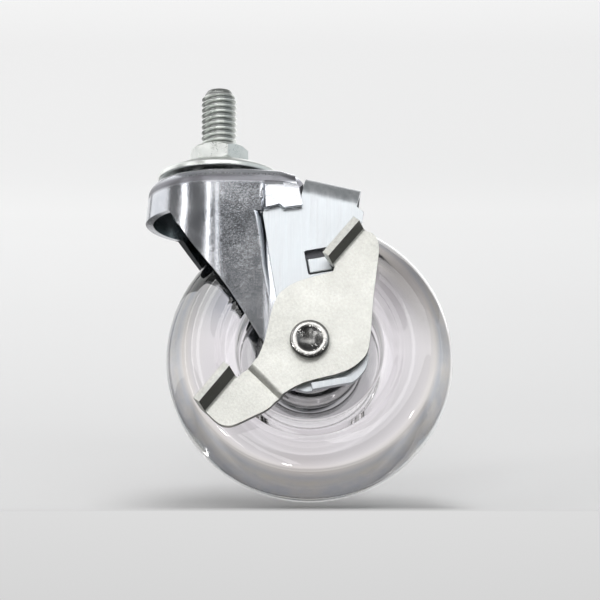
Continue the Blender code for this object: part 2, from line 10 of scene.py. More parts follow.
import bmesh
import bpy
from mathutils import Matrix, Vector

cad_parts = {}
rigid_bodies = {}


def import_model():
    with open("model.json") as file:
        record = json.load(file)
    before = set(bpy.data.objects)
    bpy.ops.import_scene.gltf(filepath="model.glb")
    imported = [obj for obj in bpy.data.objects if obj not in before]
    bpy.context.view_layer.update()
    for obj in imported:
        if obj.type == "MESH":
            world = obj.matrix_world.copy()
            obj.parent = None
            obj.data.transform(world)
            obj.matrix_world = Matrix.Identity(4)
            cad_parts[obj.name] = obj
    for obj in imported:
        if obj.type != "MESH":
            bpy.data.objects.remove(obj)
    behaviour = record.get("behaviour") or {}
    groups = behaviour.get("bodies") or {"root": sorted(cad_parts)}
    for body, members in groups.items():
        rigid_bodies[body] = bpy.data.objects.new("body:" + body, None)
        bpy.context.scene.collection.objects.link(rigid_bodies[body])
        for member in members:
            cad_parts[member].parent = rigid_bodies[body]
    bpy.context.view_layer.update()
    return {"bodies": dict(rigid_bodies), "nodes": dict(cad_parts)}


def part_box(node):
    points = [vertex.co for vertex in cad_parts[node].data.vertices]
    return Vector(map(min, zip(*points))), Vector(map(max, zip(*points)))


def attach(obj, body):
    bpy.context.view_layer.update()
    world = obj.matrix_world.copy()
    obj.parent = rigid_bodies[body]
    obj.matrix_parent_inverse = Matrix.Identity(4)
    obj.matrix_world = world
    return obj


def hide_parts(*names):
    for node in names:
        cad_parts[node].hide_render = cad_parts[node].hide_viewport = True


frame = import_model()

MM = 0.001


# ---------------------------------------------------------------- sizes read from the frame

def box_mm(node):
    low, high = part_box(node)
    return low / MM, high / MM


TYRE_LOW, TYRE_HIGH = box_mm("wheel_tyre")
AXLE_X = (TYRE_LOW.x + TYRE_HIGH.x) / 2.0
AXLE_Z = (TYRE_LOW.z + TYRE_HIGH.z) / 2.0
WHEEL_RADIUS = (TYRE_HIGH.z - TYRE_LOW.z) / 2.0
WHEEL_HALF = TYRE_HIGH.y
GROUND = TYRE_LOW.z
CORE_LOW, CORE_HIGH = box_mm("wheel_core")
CORE_RADIUS = (CORE_HIGH.z - CORE_LOW.z) / 2.0
STEM_LOW, STEM_HIGH = box_mm("threaded_stem")
CAP_LOW, CAP_HIGH = box_mm("top_race_cap")
CUP_LOW, CUP_HIGH = box_mm("lower_race_cup")
FORK_HIGH = box_mm("fork")[1]
RIVET_LOW, RIVET_HIGH = box_mm("axle_rivet")

# Fork, as the frame has it.
GAP = 0.3
FORK_THICKNESS = 2.0
CROWN_TOP = FORK_HIGH.z
CROWN_FLAT_RADIUS = 15.5
CROWN_CORNER = 3.8
FRONT_FLATTENING = 0.4
SKIRT_RADIUS = FORK_HIGH.y
SKIRT_BOTTOM = -21.5
LEG_HALF_WIDTH = 15.6
LEG_STRAIGHT_Z = -62.0
LEG_END_RADIUS = 11.5
RACE_SEAT_RADIUS = 13.0
RACE_SEAT_TOP = -12.5
FORK_HOLE_RADIUS = 6.4
LIP_HALF_WIDTH = 13.5

# Stem.
THREAD_PITCH = 25.4 / 16.0
THREAD_RADIUS = 4.76
THREAD_ROOT = 3.75
THREAD_TIP = 3.2

# Brake.
BRAKE_TILT = math.radians(10.0)
SHOE_Y = -16.8
SHOE_THICKNESS = 1.8
SHOE_TRAVEL = 1.8
LEVER_Y = -19.25
LEVER_THICKNESS = 2.1
AXLE_RADIUS = 4.0
WINDOW = (3.0, 9.95, 18.5, 25.15)     # left, right, low and high on the tilted plate
SHOE_CUT = (-20.0, -14.0)
LEVER_CUT = (-23.0, -14.0)
FORK_CUT = (-18.0, 18.0)


# ---------------------------------------------------------------- mesh helpers

def add_object(name, data):
    made = bpy.data.objects.new(name, data)
    bpy.context.scene.collection.objects.link(made)
    return made


def plain_object(name, shape):
    """Turn a bmesh in millimetres into an object."""
    bmesh.ops.scale(shape, vec=(MM, MM, MM), verts=shape.verts)
    mesh = bpy.data.meshes.new(name)
    shape.to_mesh(mesh)
    shape.free()
    return add_object(name, mesh)


def dress(piece, look, body, node):
    """Give a piece its look and the body it rides on, and hide the node it stands for."""
    piece.data.materials.clear()
    piece.data.materials.append(look)
    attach(piece, body)
    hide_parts(node)


def finish_mesh(name, shape, look, body, node, sharp):
    """Turn a bmesh into a smooth-shaded piece; edges sharper than an angle stay sharp."""
    piece = plain_object(name, shape)
    piece.data.shade_smooth()
    piece.data.set_sharp_from_angle(angle=math.radians(sharp))
    dress(piece, look, body, node)
    return piece


def spread(start, end, count):
    """Even steps from start to end, with both."""
    return [start + (end - start) * step / count for step in range(count + 1)]


def arc(centre, radius, start, end, steps):
    """Points of an arc between two angles in degrees."""
    return [(centre[0] + radius * math.cos(math.radians(angle)),
             centre[1] + radius * math.sin(math.radians(angle))) for angle in spread(start, end, steps)]


def rounded(start, corner, end, t):
    """A point of the short curve that rounds a corner."""
    return start * (1 - t) ** 2 + corner * (2 * t * (1 - t)) + end * t ** 2


def soften(profile, radius, closed=True, steps=4):
    """Round the corners of a (radius, height) profile with short curves."""
    count = len(profile)
    made = []
    for index, point in enumerate(profile):
        if not closed and index in (0, count - 1):
            made.append(point)
            continue
        here = Vector(point)
        to_last = Vector(profile[index - 1]) - here
        to_next = Vector(profile[(index + 1) % count]) - here
        cut = min(radius, 0.4 * to_last.length, 0.4 * to_next.length)
        start = here + to_last.normalized() * cut
        end = here + to_next.normalized() * cut
        made += [tuple(rounded(start, here, end, t)) for t in spread(0.0, 1.0, steps)]
    return made


def revolve(shape, profile, steps, closed=True, centre=(0.0, 0.0, 0.0), along_y=False):
    """Add a (radius, height) profile turned round +Z, or +Y where along_y is set."""
    rows = []
    for radius, height in profile:
        around = 1 if radius < 1e-6 else steps
        row = []
        for step in range(around):
            angle = 2.0 * math.pi * step / steps
            a, b = radius * math.cos(angle), radius * math.sin(angle)
            place = Vector((a, height, b)) if along_y else Vector((a, b, height))
            row.append(shape.verts.new(place + Vector(centre)))
        rows.append(row)
    pairs = list(zip(rows, rows[1:]))
    if closed:
        pairs.append((rows[-1], rows[0]))
    for first, second in pairs:
        for step in range(steps):
            after = (step + 1) % steps
            corners = [first[step % len(first)], first[after % len(first)]]
            corners += [second[after % len(second)], second[step % len(second)]]
            face = list(dict.fromkeys(corners))
            if len(face) > 2:
                shape.faces.new(face)
    bmesh.ops.recalc_face_normals(shape, faces=shape.faces)


def turned(name, profile, look, body, node, rounding=0.25, closed=True,
           steps=128, on_axle=False, sharp=40.0):
    """A turned piece on the swivel axis, or on the axle."""
    shape = bmesh.new()
    centre = (AXLE_X, 0.0, AXLE_Z) if on_axle else (0.0, 0.0, 0.0)
    revolve(shape, soften(profile, rounding, closed), steps, closed, centre, on_axle)
    finish_mesh(name, shape, look, body, node, sharp)


def axle_ring(name, profile, look, body, node, rounding):
    """A turned ring on the axle."""
    turned(name, profile, look, body, node, rounding, steps=96, on_axle=True)


def add_grid(shape, rows):
    """Faces between neighbouring rows of points."""
    made = [[shape.verts.new(point) for point in row] for row in rows]
    for first, second in zip(made, made[1:]):
        for step in range(len(first) - 1):
            shape.faces.new((first[step], first[step + 1], second[step + 1], second[step]))


def add_panel(shape, points):
    shape.faces.new([shape.verts.new(point) for point in points])


def weld(shape, fill_holes=False):
    """Join points that fall together and turn every face outwards."""
    bmesh.ops.remove_doubles(shape, verts=shape.verts, dist=0.002)
    bmesh.ops.dissolve_degenerate(shape, edges=shape.edges, dist=0.001)
    if fill_holes:
        bmesh.ops.holes_fill(shape, edges=shape.edges)
    bmesh.ops.recalc_face_normals(shape, faces=shape.faces)


def thicken(piece, thickness, offset):
    """Give a sheet its thickness: offset -1 grows it inwards, 0 grows it to both sides."""
    solid = piece.modifiers.new("thickness", "SOLIDIFY")
    solid.thickness = thickness * MM
    solid.offset = offset
    solid.use_even_offset = True


def break_edges(piece, width, segments=3, angle=38.0):
    """The small radius that a stamped and tumbled edge has."""
    bevel = piece.modifiers.new("edges", "BEVEL")
    bevel.width = width * MM
    bevel.segments = segments
    bevel.limit_method = "ANGLE"
    bevel.angle_limit = math.radians(angle)
    bevel.harden_normals = True
    bevel.miter_outer = "MITER_ARC"


def cut(piece, cutter, operation="DIFFERENCE"):
    boolean = piece.modifiers.new("cut", "BOOLEAN")
    boolean.operation = operation
    boolean.solver = "EXACT"
    boolean.object = cutter


def bake(piece, *cutters):
    """Replace a piece's mesh with its modifiers' result and drop the cutters."""
    bpy.context.view_layer.update()
    graph = bpy.context.evaluated_depsgraph_get()
    mesh = bpy.data.meshes.new_from_object(piece.evaluated_get(graph), depsgraph=graph)
    piece.modifiers.clear()
    piece.data = mesh
    for cutter in cutters:
        bpy.data.objects.remove(cutter, do_unlink=True)
    return piece


def prism(name, corners, reach):
    """A solid made by pushing a flat outline along a vector."""
    shape = bmesh.new()
    face = shape.faces.new([shape.verts.new(corner) for corner in corners])
    grown = bmesh.ops.extrude_face_region(shape, geom=[face])
    moved = [item for item in grown["geom"] if isinstance(item, bmesh.types.BMVert)]
    bmesh.ops.translate(shape, vec=reach, verts=moved)
    bmesh.ops.recalc_face_normals(shape, faces=shape.faces)
    return plain_object(name, shape)


def prism_y(outline, low_y, high_y, name="cutter"):
    """A solid with an (x, z) outline between two depths."""
    return prism(name, [(x, low_y, z) for x, z in outline], (0.0, high_y - low_y, 0.0))


def brake_prism(outline, low_y, high_y, name="cutter"):
    """A solid whose outline is measured across and up the tilted brake plate."""
    return prism_y([brake_point(across, up) for across, up in outline], low_y, high_y, name)


def axle_cutter(radius, low_y, high_y):
    return prism_y(arc((AXLE_X, AXLE_Z), radius, 0.0, 360.0, 64)[:-1], low_y, high_y)


def curve_through(points, steps=5):
    """A smooth open curve through points (Catmull-Rom)."""
    path = [Vector(point) for point in points]
    ends = [path[0] * 2 - path[1]] + path + [path[-1] * 2 - path[-2]]
    made = []
    for a, b, c, d in zip(ends, ends[1:], ends[2:], ends[3:]):
        for step in range(steps):
            t = step / steps
            made.append(0.5 * ((2 * b) + (c - a) * t + (2 * a - 5 * b + 4 * c - d) * t ** 2
                               + (3 * b - a - 3 * c + d) * t ** 3))
    made.append(path[-1])
    return [tuple(point) for point in made]


def between(z, outline):
    """The x of an outline of (x, z) points, listed downwards, at a height."""
    for (x0, z0), (x1, z1) in zip(outline, outline[1:]):
        if z1 <= z <= z0:
            return x0 + (x1 - x0) * (z0 - z) / max(z0 - z1, 1e-9)
    return outline[0][0] if z > outline[0][1] else outline[-1][0]


def between_x(x, outline):
    """The height of an outline of (x, z) points, listed by rising x."""
    for (x0, z0), (x1, z1) in zip(outline, outline[1:]):
        if x0 <= x <= x1:
            return z0 + (z1 - z0) * (x - x0) / (x1 - x0)
    return outline[-1][1]


def smooth_step(low, high, value):
    """0 at low, 1 at high, with an even rise between; low may be the larger of the two."""
    t = max(0.0, min(1.0, (value - low) / (high - low)))
    return t * t * (3.0 - 2.0 * t)


def brake_point(across, up):
    """A point of the tilted brake plate, measured from the axle, as (x, z)."""
    x = AXLE_X + across * math.cos(BRAKE_TILT) - up * math.sin(BRAKE_TILT)
    z = AXLE_Z + across * math.sin(BRAKE_TILT) + up * math.cos(BRAKE_TILT)
    return (x, z)


def at_depth(points, y):
    return [Vector((x, y, z)) for x, z in points]


def at_brake(points, y):
    return at_depth([brake_point(across, up) for across, up in points], y)


def bend_rows(base, rise, inward, angle, radius, length, steps=10):
    """Rows of points from a base edge round a bend, then straight on for a length."""
    rise = Vector(rise).normalized()
    inward = Vector(inward).normalized()
    offsets = [rise * radius * math.sin(part) + inward * radius * (1.0 - math.cos(part))
               for part in spread(0.0, angle, steps)]
    heading = rise * math.cos(angle) + inward * math.sin(angle)
    offsets.append(offsets[-1] + heading * length)
    return [[Vector(point) + offset for point in base] for offset in offsets]


# ---------------------------------------------------------------- materials

class Graph:
    """Short ways to add nodes; a value is either another node's output or a constant."""

    def __init__(self, tree):
        self.nodes = tree.nodes
        self.links = tree.links

    def feed(self, socket, value):
        if isinstance(value, bpy.types.NodeSocket):
            self.links.new(value, socket)
        else:
            socket.default_value = (*value, 1.0) if socket.type == "RGBA" else value

    def add(self, kind, values=(), **settings):
        """A node with its settings, and with its inputs filled from (socket, value) pairs."""
        node = self.nodes.new("ShaderNode" + kind)
        for name, setting in settings.items():
            setattr(node, name, setting)
        for socket, value in values:
            self.feed(node.inputs[socket], value)
        return node

    def ramp(self, source, stops):
        """Colours at positions along a value; a colour may be one grey level."""
        node = self.add("ValToRGB", [("Fac", source)])
        elements = node.color_ramp.elements
        while len(elements) < len(stops):
            elements.new(0.5)
        for element, (position, value) in zip(elements, stops):
            colour = (value, value, value) if isinstance(value, float) else value
            element.position = position
            element.color = (*colour, 1.0)
        return node.outputs["Color"]

    def fit(self, source, low, high, start=0.3, end=0.7):
        """Carry a value from the range start to end over to the range low to high."""
        node = self.add("MapRange", [("Value", source), ("From Min", start), ("From Max", end),
                                     ("To Min", low), ("To Max", high)])
        return node.outputs["Result"]

    def blend(self, fac, first, second, kind="MIX"):
        node = self.add("Mix", [], data_type="RGBA", blend_type=kind)
        for socket, value in (("Factor", fac), (6, first), (7, second)):
            self.feed(node.inputs[socket], value)
        return node.outputs[2]

    def plus(self, first, second, weight=1.0):
        """first + weight * second"""
        return self.add("Math", [(0, second), (1, weight), (2, first)], operation="MULTIPLY_ADD").outputs[0]

    def vector(self, operation, first, second=(0.0, 0.0, 0.0)):
        node = self.add("VectorMath", [(0, first), (1, second)], operation=operation)
        return node.outputs["Value" if operation in ("LENGTH", "DOT_PRODUCT") else "Vector"]


class Look(Graph):
    """A material with one Principled shader and procedural colour, roughness and bump."""

    def __init__(self, name, colour, roughness, metallic=1.0):
        self.material = bpy.data.materials.new(name)
        self.material.use_nodes = True
        super().__init__(self.material.node_tree)
        self.shader = self.nodes["Principled BSDF"]
        texture = self.add("TexCoord")
        self.coordinates = texture.outputs["Object"]
        self.normal = texture.outputs["Normal"]
        self.set("Base Color", colour)
        self.set("Roughness", roughness)
        self.set("Metallic", metallic)

    def set(self, socket, value):
        self.feed(self.shader.inputs[socket], value)

    def noise(self, scale, detail=2.0, roughness=0.5, source=None):
        node = self.add("TexNoise", [("Scale", scale), ("Detail", detail), ("Roughness", roughness),
                                     ("Vector", source or self.coordinates)])
        return node.outputs["Fac"]

    def radius(self, x, z):
        """Distance in millimetres from the line along Y through a point."""
        node = self.add("Mapping", [("Vector", self.coordinates), ("Location", (-x, 0.0, -z)),
                                    ("Scale", (1.0 / MM, 0.0, 1.0 / MM))])
        return self.vector("LENGTH", node.outputs["Vector"])

    def inside(self):
        """1 on faces that look in towards the swivel axis, 0 on faces that look out."""
        level = self.vector("MULTIPLY", self.coordinates, (1.0, 1.0, 0.0))
        return self.fit(self.vector("DOT_PRODUCT", level, self.normal), 1.0, 0.0, -0.004, -0.001)

    def bump(self, height, distance):
        node = self.add("Bump", [("Strength", 1.0), ("Distance", distance * MM), ("Height", height)])
        self.set("Normal", node.outputs["Normal"])


class Plate(Look):
    """Zinc plate: cloudy colour, fine pits and an uneven polish."""

    def __init__(self, name, dark, light, roughness, grain, bump, patch=90.0, relief=1.5):
        super().__init__(name, light, roughness[0])
        self.cloud = self.noise(patch, 3.0, 0.6)
        fine = self.noise(grain, 2.0, 0.6)
        self.colour = self.blend(self.fit(self.cloud, 0.0, 1.0), dark, light)
        self.polish = self.plus(self.fit(self.cloud, *roughness), self.fit(fine, -0.04, 0.08))
        self.set("Base Color", self.colour)
        self.set("Roughness", self.polish)
        self.bump(self.plus(fine, self.noise(2.0 * patch, 1.0), relief), bump)


def fork_plate():
    """Bright plate, with painted shade on the faces inside the fork and along the crown's corner, where it
    is also rougher.
    """
    look = Plate("bright_zinc", (0.50, 0.52, 0.56), (0.64, 0.65, 0.68), (0.11, 0.20), 2200.0, 0.014)
    # Painted shade: faces that look in towards the swivel axis take a dark colour.
    colour = look.blend(look.inside(), look.colour, (0.24, 0.27, 0.28))
    # Painted shade: a dark band along the crown's corner, which is also made rougher.
    corner = CROWN_TOP - CROWN_CORNER
    height = look.add("SeparateXYZ", [("Vector", look.coordinates)]).outputs["Z"]
    band = look.fit(height, 0.0, 1.0, (corner - 1.0) * MM, (corner + 2.2) * MM)
    corner_shade = look.ramp(band, [(0.0, 0.0), (0.25, 1.0), (0.6, 1.0), (1.0, 0.0)])
    look.set("Base Color", look.blend(corner_shade, colour, (0.24, 0.24, 0.26)))
    look.set("Roughness", look.plus(look.polish, corner_shade, 0.22))
    return look.material


def rivet_plate():
    """Rivet steel: dark, with a painted bright ring highlight round the dimple and painted dark lines either
    side of it.
    """
    dark, light = (0.07, 0.07, 0.07), (0.55, 0.54, 0.52)
    look = Plate("rivet_steel", dark, light, (0.14, 0.26), 1800.0, 0.02, 300.0)
    reach = look.fit(look.radius(AXLE_X, AXLE_Z), 0.0, 1.0, 0.0, 6.0)
    # Painted highlight: a bright ring round the dimple, with painted dark lines inside and outside it.
    rim = look.ramp(reach, [(0.0, 0.25), (0.52, 0.1), (0.62, 1.0), (0.78, 0.9), (0.84, 0.1), (1.0, 0.2)])
    mixed = look.plus(look.fit(look.cloud, -0.1, 0.2), rim, 0.9)
    look.set("Base Color", look.blend(mixed, dark, light))
    return look.material


def stem_plate():
    """Satin plate, with painted shade in the roots of the thread."""
    dark, light = (0.74, 0.77, 0.74), (0.96, 0.98, 0.95)
    look = Plate("satin_zinc", dark, light, (0.26, 0.38), 2600.0, 0.012, 160.0, 1.2)
    out = look.vector("LENGTH", look.vector("MULTIPLY", look.coordinates, (1.0 / MM, 1.0 / MM, 0.0)))
    crest = look.fit(out, 0.0, 1.0, THREAD_ROOT + 0.05, THREAD_ROOT + 0.7)
    # Painted shade: the roots of the thread take a darker copy of the plate's colour.
    look.set("Base Color", look.blend(crest, tuple(0.45 * value for value in dark), look.colour))
    return look.material


def sandy(name, dark, light, roughness):
    """Tumbled plate: a matte, sandy grain, with painted shade on faces that look down and towards +X, such
    as the undersides of the bent tabs.
    """
    look = Look(name, light, roughness[0])
    grain = look.noise(1500.0, 3.0, 0.7)
    cloud = look.noise(120.0, 3.0, 0.6)
    mixed = look.plus(look.fit(grain, 0.0, 0.6), look.fit(cloud, 0.0, 0.4))
    # Painted shade on faces that look down and towards +X.
    under = look.fit(look.vector("DOT_PRODUCT", look.normal, (0.77, 0.0, -0.63)), 0.0, 1.0, 0.80, 0.92)
    shade = tuple(0.28 * value for value in dark)
    look.set("Base Color", look.blend(under, look.blend(mixed, dark, light), shade))
    look.set("Roughness", look.fit(grain, *roughness))
    look.bump(grain, 0.05)
    return look.material


def brushed(name, dark, light, roughness, bump):
    """Plate brushed along the tilted brake: fine long streaks."""
    look = Look(name, light, roughness[0])
    stretched = look.add("Mapping", [("Vector", look.coordinates), ("Scale", (1.0, 1.0, 0.03)),
                                     ("Rotation", (0.0, BRAKE_TILT, 0.0))])
    streaks = look.noise(900.0, 3.0, 0.6, stretched.outputs["Vector"])
    cloud = look.noise(130.0, 2.0, 0.5)
    mixed = look.plus(look.fit(streaks, 0.0, 0.7), look.fit(cloud, 0.0, 0.3))
    look.set("Base Color", look.blend(mixed, dark, light))
    look.set("Roughness", look.plus(look.fit(streaks, *roughness), look.fit(cloud, 0.0, 0.06)))
    look.bump(look.plus(streaks, cloud, 0.8), bump)
    return look.material


def clear(name, rings, roughness, ior, bump, shade_patches=()):
    """Clear plastic, tinted by its distance from the axle, with flow marks; rings of tint may hold painted
    shade.

    A shade patch is (x, z, inner radius, outer radius, tint): painted shade that darkens the plastic round a
    point. With shade patches, the rim also takes a painted mottle of blue and cream, a stand-in for the
    surroundings seen through it.
    """
    look = Look(name, rings[0][1], roughness[0], 0.0)
    look.set("Transmission Weight", 1.0)
    look.set("IOR", ior)
    flow = look.noise(60.0, 2.0, 0.5)
    look.set("Roughness", look.fit(flow, *roughness))
    reach = look.fit(look.radius(AXLE_X, AXLE_Z), 0.0, 1.0, 0.0, WHEEL_RADIUS)
    tint = look.ramp(reach, [(radius / WHEEL_RADIUS, colour) for radius, colour in rings])
    if shade_patches:
        # Painted mottle of blue and cream on the rim, a stand-in for the surroundings seen through the
        # tread.
        painted_mottle = look.ramp(look.noise(130.0, 3.0, 0.6), [
            (0.35, (0.74, 0.79, 0.86)), (0.52, (0.93, 0.92, 0.90)), (0.66, (1.0, 0.96, 0.86))])
        rim = look.fit(reach, 0.0, 1.0, 0.85, 0.93)
        tint = look.blend(rim, tint, look.blend(rim, tint, painted_mottle, "MULTIPLY"))
    # Painted shade: each patch darkens the plastic round its point.
    for x, z, inner, outer, shade in shade_patches:
        near = look.fit(look.radius(x, z), 1.0, 0.0, inner, outer)
        tint = look.blend(near, tint, shade, "MULTIPLY")
    look.set("Base Color", tint)
    look.bump(flow, bump)
    return look.material


ZINC = fork_plate()
STEM_ZINC = stem_plate()
RIVET_STEEL = rivet_plate()
# Dark plate for a pad of painted shade behind the fork's window.
SHADE_PAD_ZINC = sandy("shade_pad_zinc", (0.10, 0.10, 0.11), (0.18, 0.18, 0.20), (0.50, 0.62))
SHOE_ZINC = brushed("brushed_zinc", (0.42, 0.45, 0.47), (0.62, 0.64, 0.66), (0.26, 0.38), 0.003)
LEVER_STEEL = sandy("tumbled_steel", (0.62, 0.62, 0.58), (1.0, 1.0, 0.95), (0.44, 0.60))
BEARING_STEEL = Plate("bearing_steel", (0.50, 0.50, 0.52), (0.62, 0.62, 0.64), (0.06, 0.14),
                      1500.0, 0.004).material
SHIELD_STEEL = Plate("shield_steel", (0.28, 0.28, 0.30), (0.44, 0.44, 0.46), (0.24, 0.36),
                     1800.0, 0.01).material

# Tints by radius: the plastic's own pale lavender, with the tyre's tread bands darker blue and cream as a
# painted stand-in for the surroundings seen through them, and the core darker towards the hub, painted shade
# in its recess. The tyre's shade patches are painted shade where dark surroundings show through.
TYRE_RINGS = [(22.0, (0.84, 0.80, 0.84)), (28.0, (0.82, 0.79, 0.82)), (31.5, (0.84, 0.81, 0.82)),
              (33.4, (0.88, 0.84, 0.76)), (34.6, (0.62, 0.66, 0.70)), (35.6, (0.72, 0.72, 0.68)),
              (37.0, (0.74, 0.76, 0.78)), (38.1, (0.64, 0.67, 0.69))]
TYRE_SHADE_PATCHES = [(48.0, -38.0, 3.0, 18.0, (0.50, 0.49, 0.50)), (22.0, -92.0, 2.0, 14.0, (0.93, 0.91, 0.90)),
               (0.5, -43.0, 1.0, 10.0, (0.60, 0.64, 0.68))]
CORE_RINGS = [(9.0, (0.48, 0.47, 0.48)), (15.0, (0.52, 0.51, 0.53)), (17.8, (0.60, 0.58, 0.61)),
              (18.6, (0.94, 0.91, 0.94)), (19.4, (0.99, 0.96, 0.99)),
              (22.1, (0.95, 0.91, 0.96))]
CLEAR_TYRE = clear("clear_tyre", TYRE_RINGS, (0.0, 0.03), 1.49, 0.02, TYRE_SHADE_PATCHES)
CLEAR_CORE = clear("clear_core", CORE_RINGS, (0.05, 0.12), 1.50, 0.02)


# ---------------------------------------------------------------- stem and swivel race

HEX_ACROSS_FLATS = 14.0
HEX_HEIGHT = 5.0
HEX_TURN = 12.4
SHANK_RADIUS = 5.0
THREAD_TIP_SLOPE = 0.66


def thread_radius(phase):
    """The thread's radius over one pitch: root, flank, crest, flank."""
    stops = [(0.0, THREAD_ROOT), (0.14, THREAD_ROOT + 0.04), (0.40, THREAD_RADIUS - 0.06),
             (0.45, THREAD_RADIUS), (0.55, THREAD_RADIUS), (0.60, THREAD_RADIUS - 0.06),
             (0.86, THREAD_ROOT + 0.04), (1.0, THREAD_ROOT)]
    return between_x(phase, stops)


def add_thread(shape, low, high):
    """A right-hand helical thread; its rows follow the helix, so crests stay crisp."""
    around = 96
    phases = [0.0, 0.07, 0.14, 0.27, 0.40, 0.45, 0.55, 0.60, 0.73, 0.86, 0.93]
    turns = int((high - low) / THREAD_PITCH) + 3
    columns = []
    for step in range(around):
        share = step / around
        angle = 2.0 * math.pi * share
        column = []
        for turn in range(turns):
            for phase in phases:
                z = max(low, min(high, low + THREAD_PITCH * (turn - 1 + phase + share)))
                radius = min(thread_radius(phase), THREAD_TIP + (high - z) * THREAD_TIP_SLOPE)
                if z <= low or z >= high:
                    radius = THREAD_TIP
                column.append(shape.verts.new((radius * math.cos(angle), radius * math.sin(angle), z)))
        columns.append(column)
    for step, this in enumerate(columns):
        # At the seam the next column lies one turn further up.
        other = columns[(step + 1) % around]
        shift = len(phases) if step == around - 1 else 0
        for low_row in range(len(this) - 1 - shift):
            far_row = low_row + shift
            shape.faces.new((this[low_row], other[far_row], other[far_row + 1], this[low_row + 1]))
    weld(shape, fill_holes=True)


def hex_collar():
    """The spanner collar: a hexagon with turned chamfers above and below."""
    flat = HEX_ACROSS_FLATS / 2.0
    corner = flat / math.cos(math.pi / 6.0)
    outline = arc((0.0, 0.0), corner, -HEX_TURN, 360.0 - HEX_TURN, 6)[:-1]
    collar = prism("stem_collar", [(x, y, -HEX_HEIGHT) for x, y in outline], (0.0, 0.0, HEX_HEIGHT))
    cone = bmesh.new()
    top, foot = 1e-3, -HEX_HEIGHT - 1e-3
    profile = [(0.0, top), (flat - 0.7, top), (flat + 0.1, -0.5), (corner + 0.1, -1.5),
               (corner + 0.1, -HEX_HEIGHT + 0.9), (flat - 0.1, foot), (0.0, foot)]
    revolve(cone, profile, 96, closed=False)
    chamfer = plain_object("hex_chamfer", cone)
    cut(collar, chamfer, "INTERSECT")
    break_edges(collar, 0.32, 3, 25.0)
    bake(collar, chamfer)
    return collar


def make_stem():
    shape = bmesh.new()
    add_thread(shape, -0.6, STEM_HIGH.z)
    shank_end = STEM_LOW.z + 2.1
    profile = [(0.0, -HEX_HEIGHT + 0.5), (SHANK_RADIUS, -HEX_HEIGHT + 0.5), (SHANK_RADIUS, shank_end),
               (7.2, shank_end), (7.2, shank_end - 0.9), (5.6, STEM_LOW.z), (0.0, STEM_LOW.z)]
    revolve(shape, soften(profile, 0.25, False), 96, closed=False)
    finish_mesh("stem_with_thread", shape, STEM_ZINC, "stem", "threaded_stem", 34.0)
    dress(hex_collar(), STEM_ZINC, "stem", "threaded_stem")


def make_cap():
    inner = SHANK_RADIUS + GAP
    top, under, edge = CAP_HIGH.z, CAP_LOW.z, CAP_HIGH.x
    rim = -7.9
    profile = [(inner, top), (7.2, top), (8.6, top - 0.8), (12.2, top - 0.9), (14.6, rim),
               (edge - 0.4, rim), (edge, rim - 0.4), (edge, under), (14.0, under), (12.0, top - 2.6),
               (8.3, top - 2.5), (6.9, top - 1.7), (inner, top - 1.7)]
    turned("race_cap", profile, STEM_ZINC, "stem", "top_race_cap", 0.45, steps=160)


def make_cup():
    inner = SHANK_RADIUS + GAP
    edge = CUP_HIGH.x
    low = CUP_LOW.z
    profile = [(inner, low + 1.5), (10.7, low + 1.5), (11.1, low + 1.9), (11.1, CUP_HIGH.z),
               (edge, CUP_HIGH.z), (edge, low + 1.0), (edge - 1.0, low), (inner, low)]
    turned("race_cup", profile, ZINC, "stem", "lower_race_cup", 0.3)


# ---------------------------------------------------------------- fork

NEAR_FRONT = [(-13.7, -21.5), (-6.9, -31.6), (-2.1, -37.4), (2.5, -42.8), (8.4, -51.8), (12.3, -58.0)]
FAR_FRONT = [(-11.3, -21.5), (-5.0, -29.8), (0.3, -37.2), (4.9, -45.0), (9.8, -53.5), (12.3, -58.0)]
LEG_REAR = [(22.4, -21.5), (22.9, -22.0), (28.8, -25.0), (31.9, -30.5), (33.8, -42.0), (34.9, -55.0)]
CROWN_REAR = [(20.5, -10.8), (21.0, -14.6), (22.4, -21.5), (22.6, -23.0)]
POCKET_START = 9.2
POCKET_EDGE = [(POCKET_START, -21.5), (POCKET_START, -22.9), (9.7, -24.4), (10.5, -30.1),
               (11.4, -37.8), (12.5, -42.7), (13.3, -48.0), (13.7, -55.0), (13.9, -71.0)]
HOOK_EDGE = [(POCKET_START, -22.9), (11.7, -22.8), (16.5, -21.6), (17.5, -22.6), (22.9, -21.9)]
ARC_RADIUS = 19.6
NEAR_TAPER = 0.084
HOOK_START = 12.3
CORNER_Z = CROWN_TOP - CROWN_CORNER
CORNER_REACH = CROWN_FLAT_RADIUS + CROWN_CORNER


def half_width(z):
    """Half the fork's width at a height: rounded corner, skirt, then the legs."""
    if z >= CORNER_Z:
        rise = min(z - CORNER_Z, CROWN_CORNER)
        return CROWN_FLAT_RADIUS + math.sqrt(CROWN_CORNER ** 2 - rise ** 2)
    if z >= SKIRT_BOTTOM:
        return CORNER_REACH + (SKIRT_RADIUS - CORNER_REACH) * (CORNER_Z - z) / (CORNER_Z - SKIRT_BOTTOM)
    part = max(0.0, (z - LEG_STRAIGHT_Z) / (SKIRT_BOTTOM - LEG_STRAIGHT_Z))
    return LEG_HALF_WIDTH + (SKIRT_RADIUS - LEG_HALF_WIDTH) * part ** 2


def hook_flare(x):
    """0 on the near side before the hook, 1 on the hook."""
    return smooth_step(HOOK_START - 0.5, HOOK_START + 0.3, x)


def crown_dip(x, y, z):
    """The crown's top leans down a little towards the rear and drops at its rear corners."""
    lean = 0.8 * smooth_step(4.0, 20.0, x)
    corner = 1.5 * smooth_step(16.0, 21.5, x) * smooth_step(12.0, 18.0, abs(y))
    return -(lean + corner) * smooth_step(-17.0, -12.0, z)


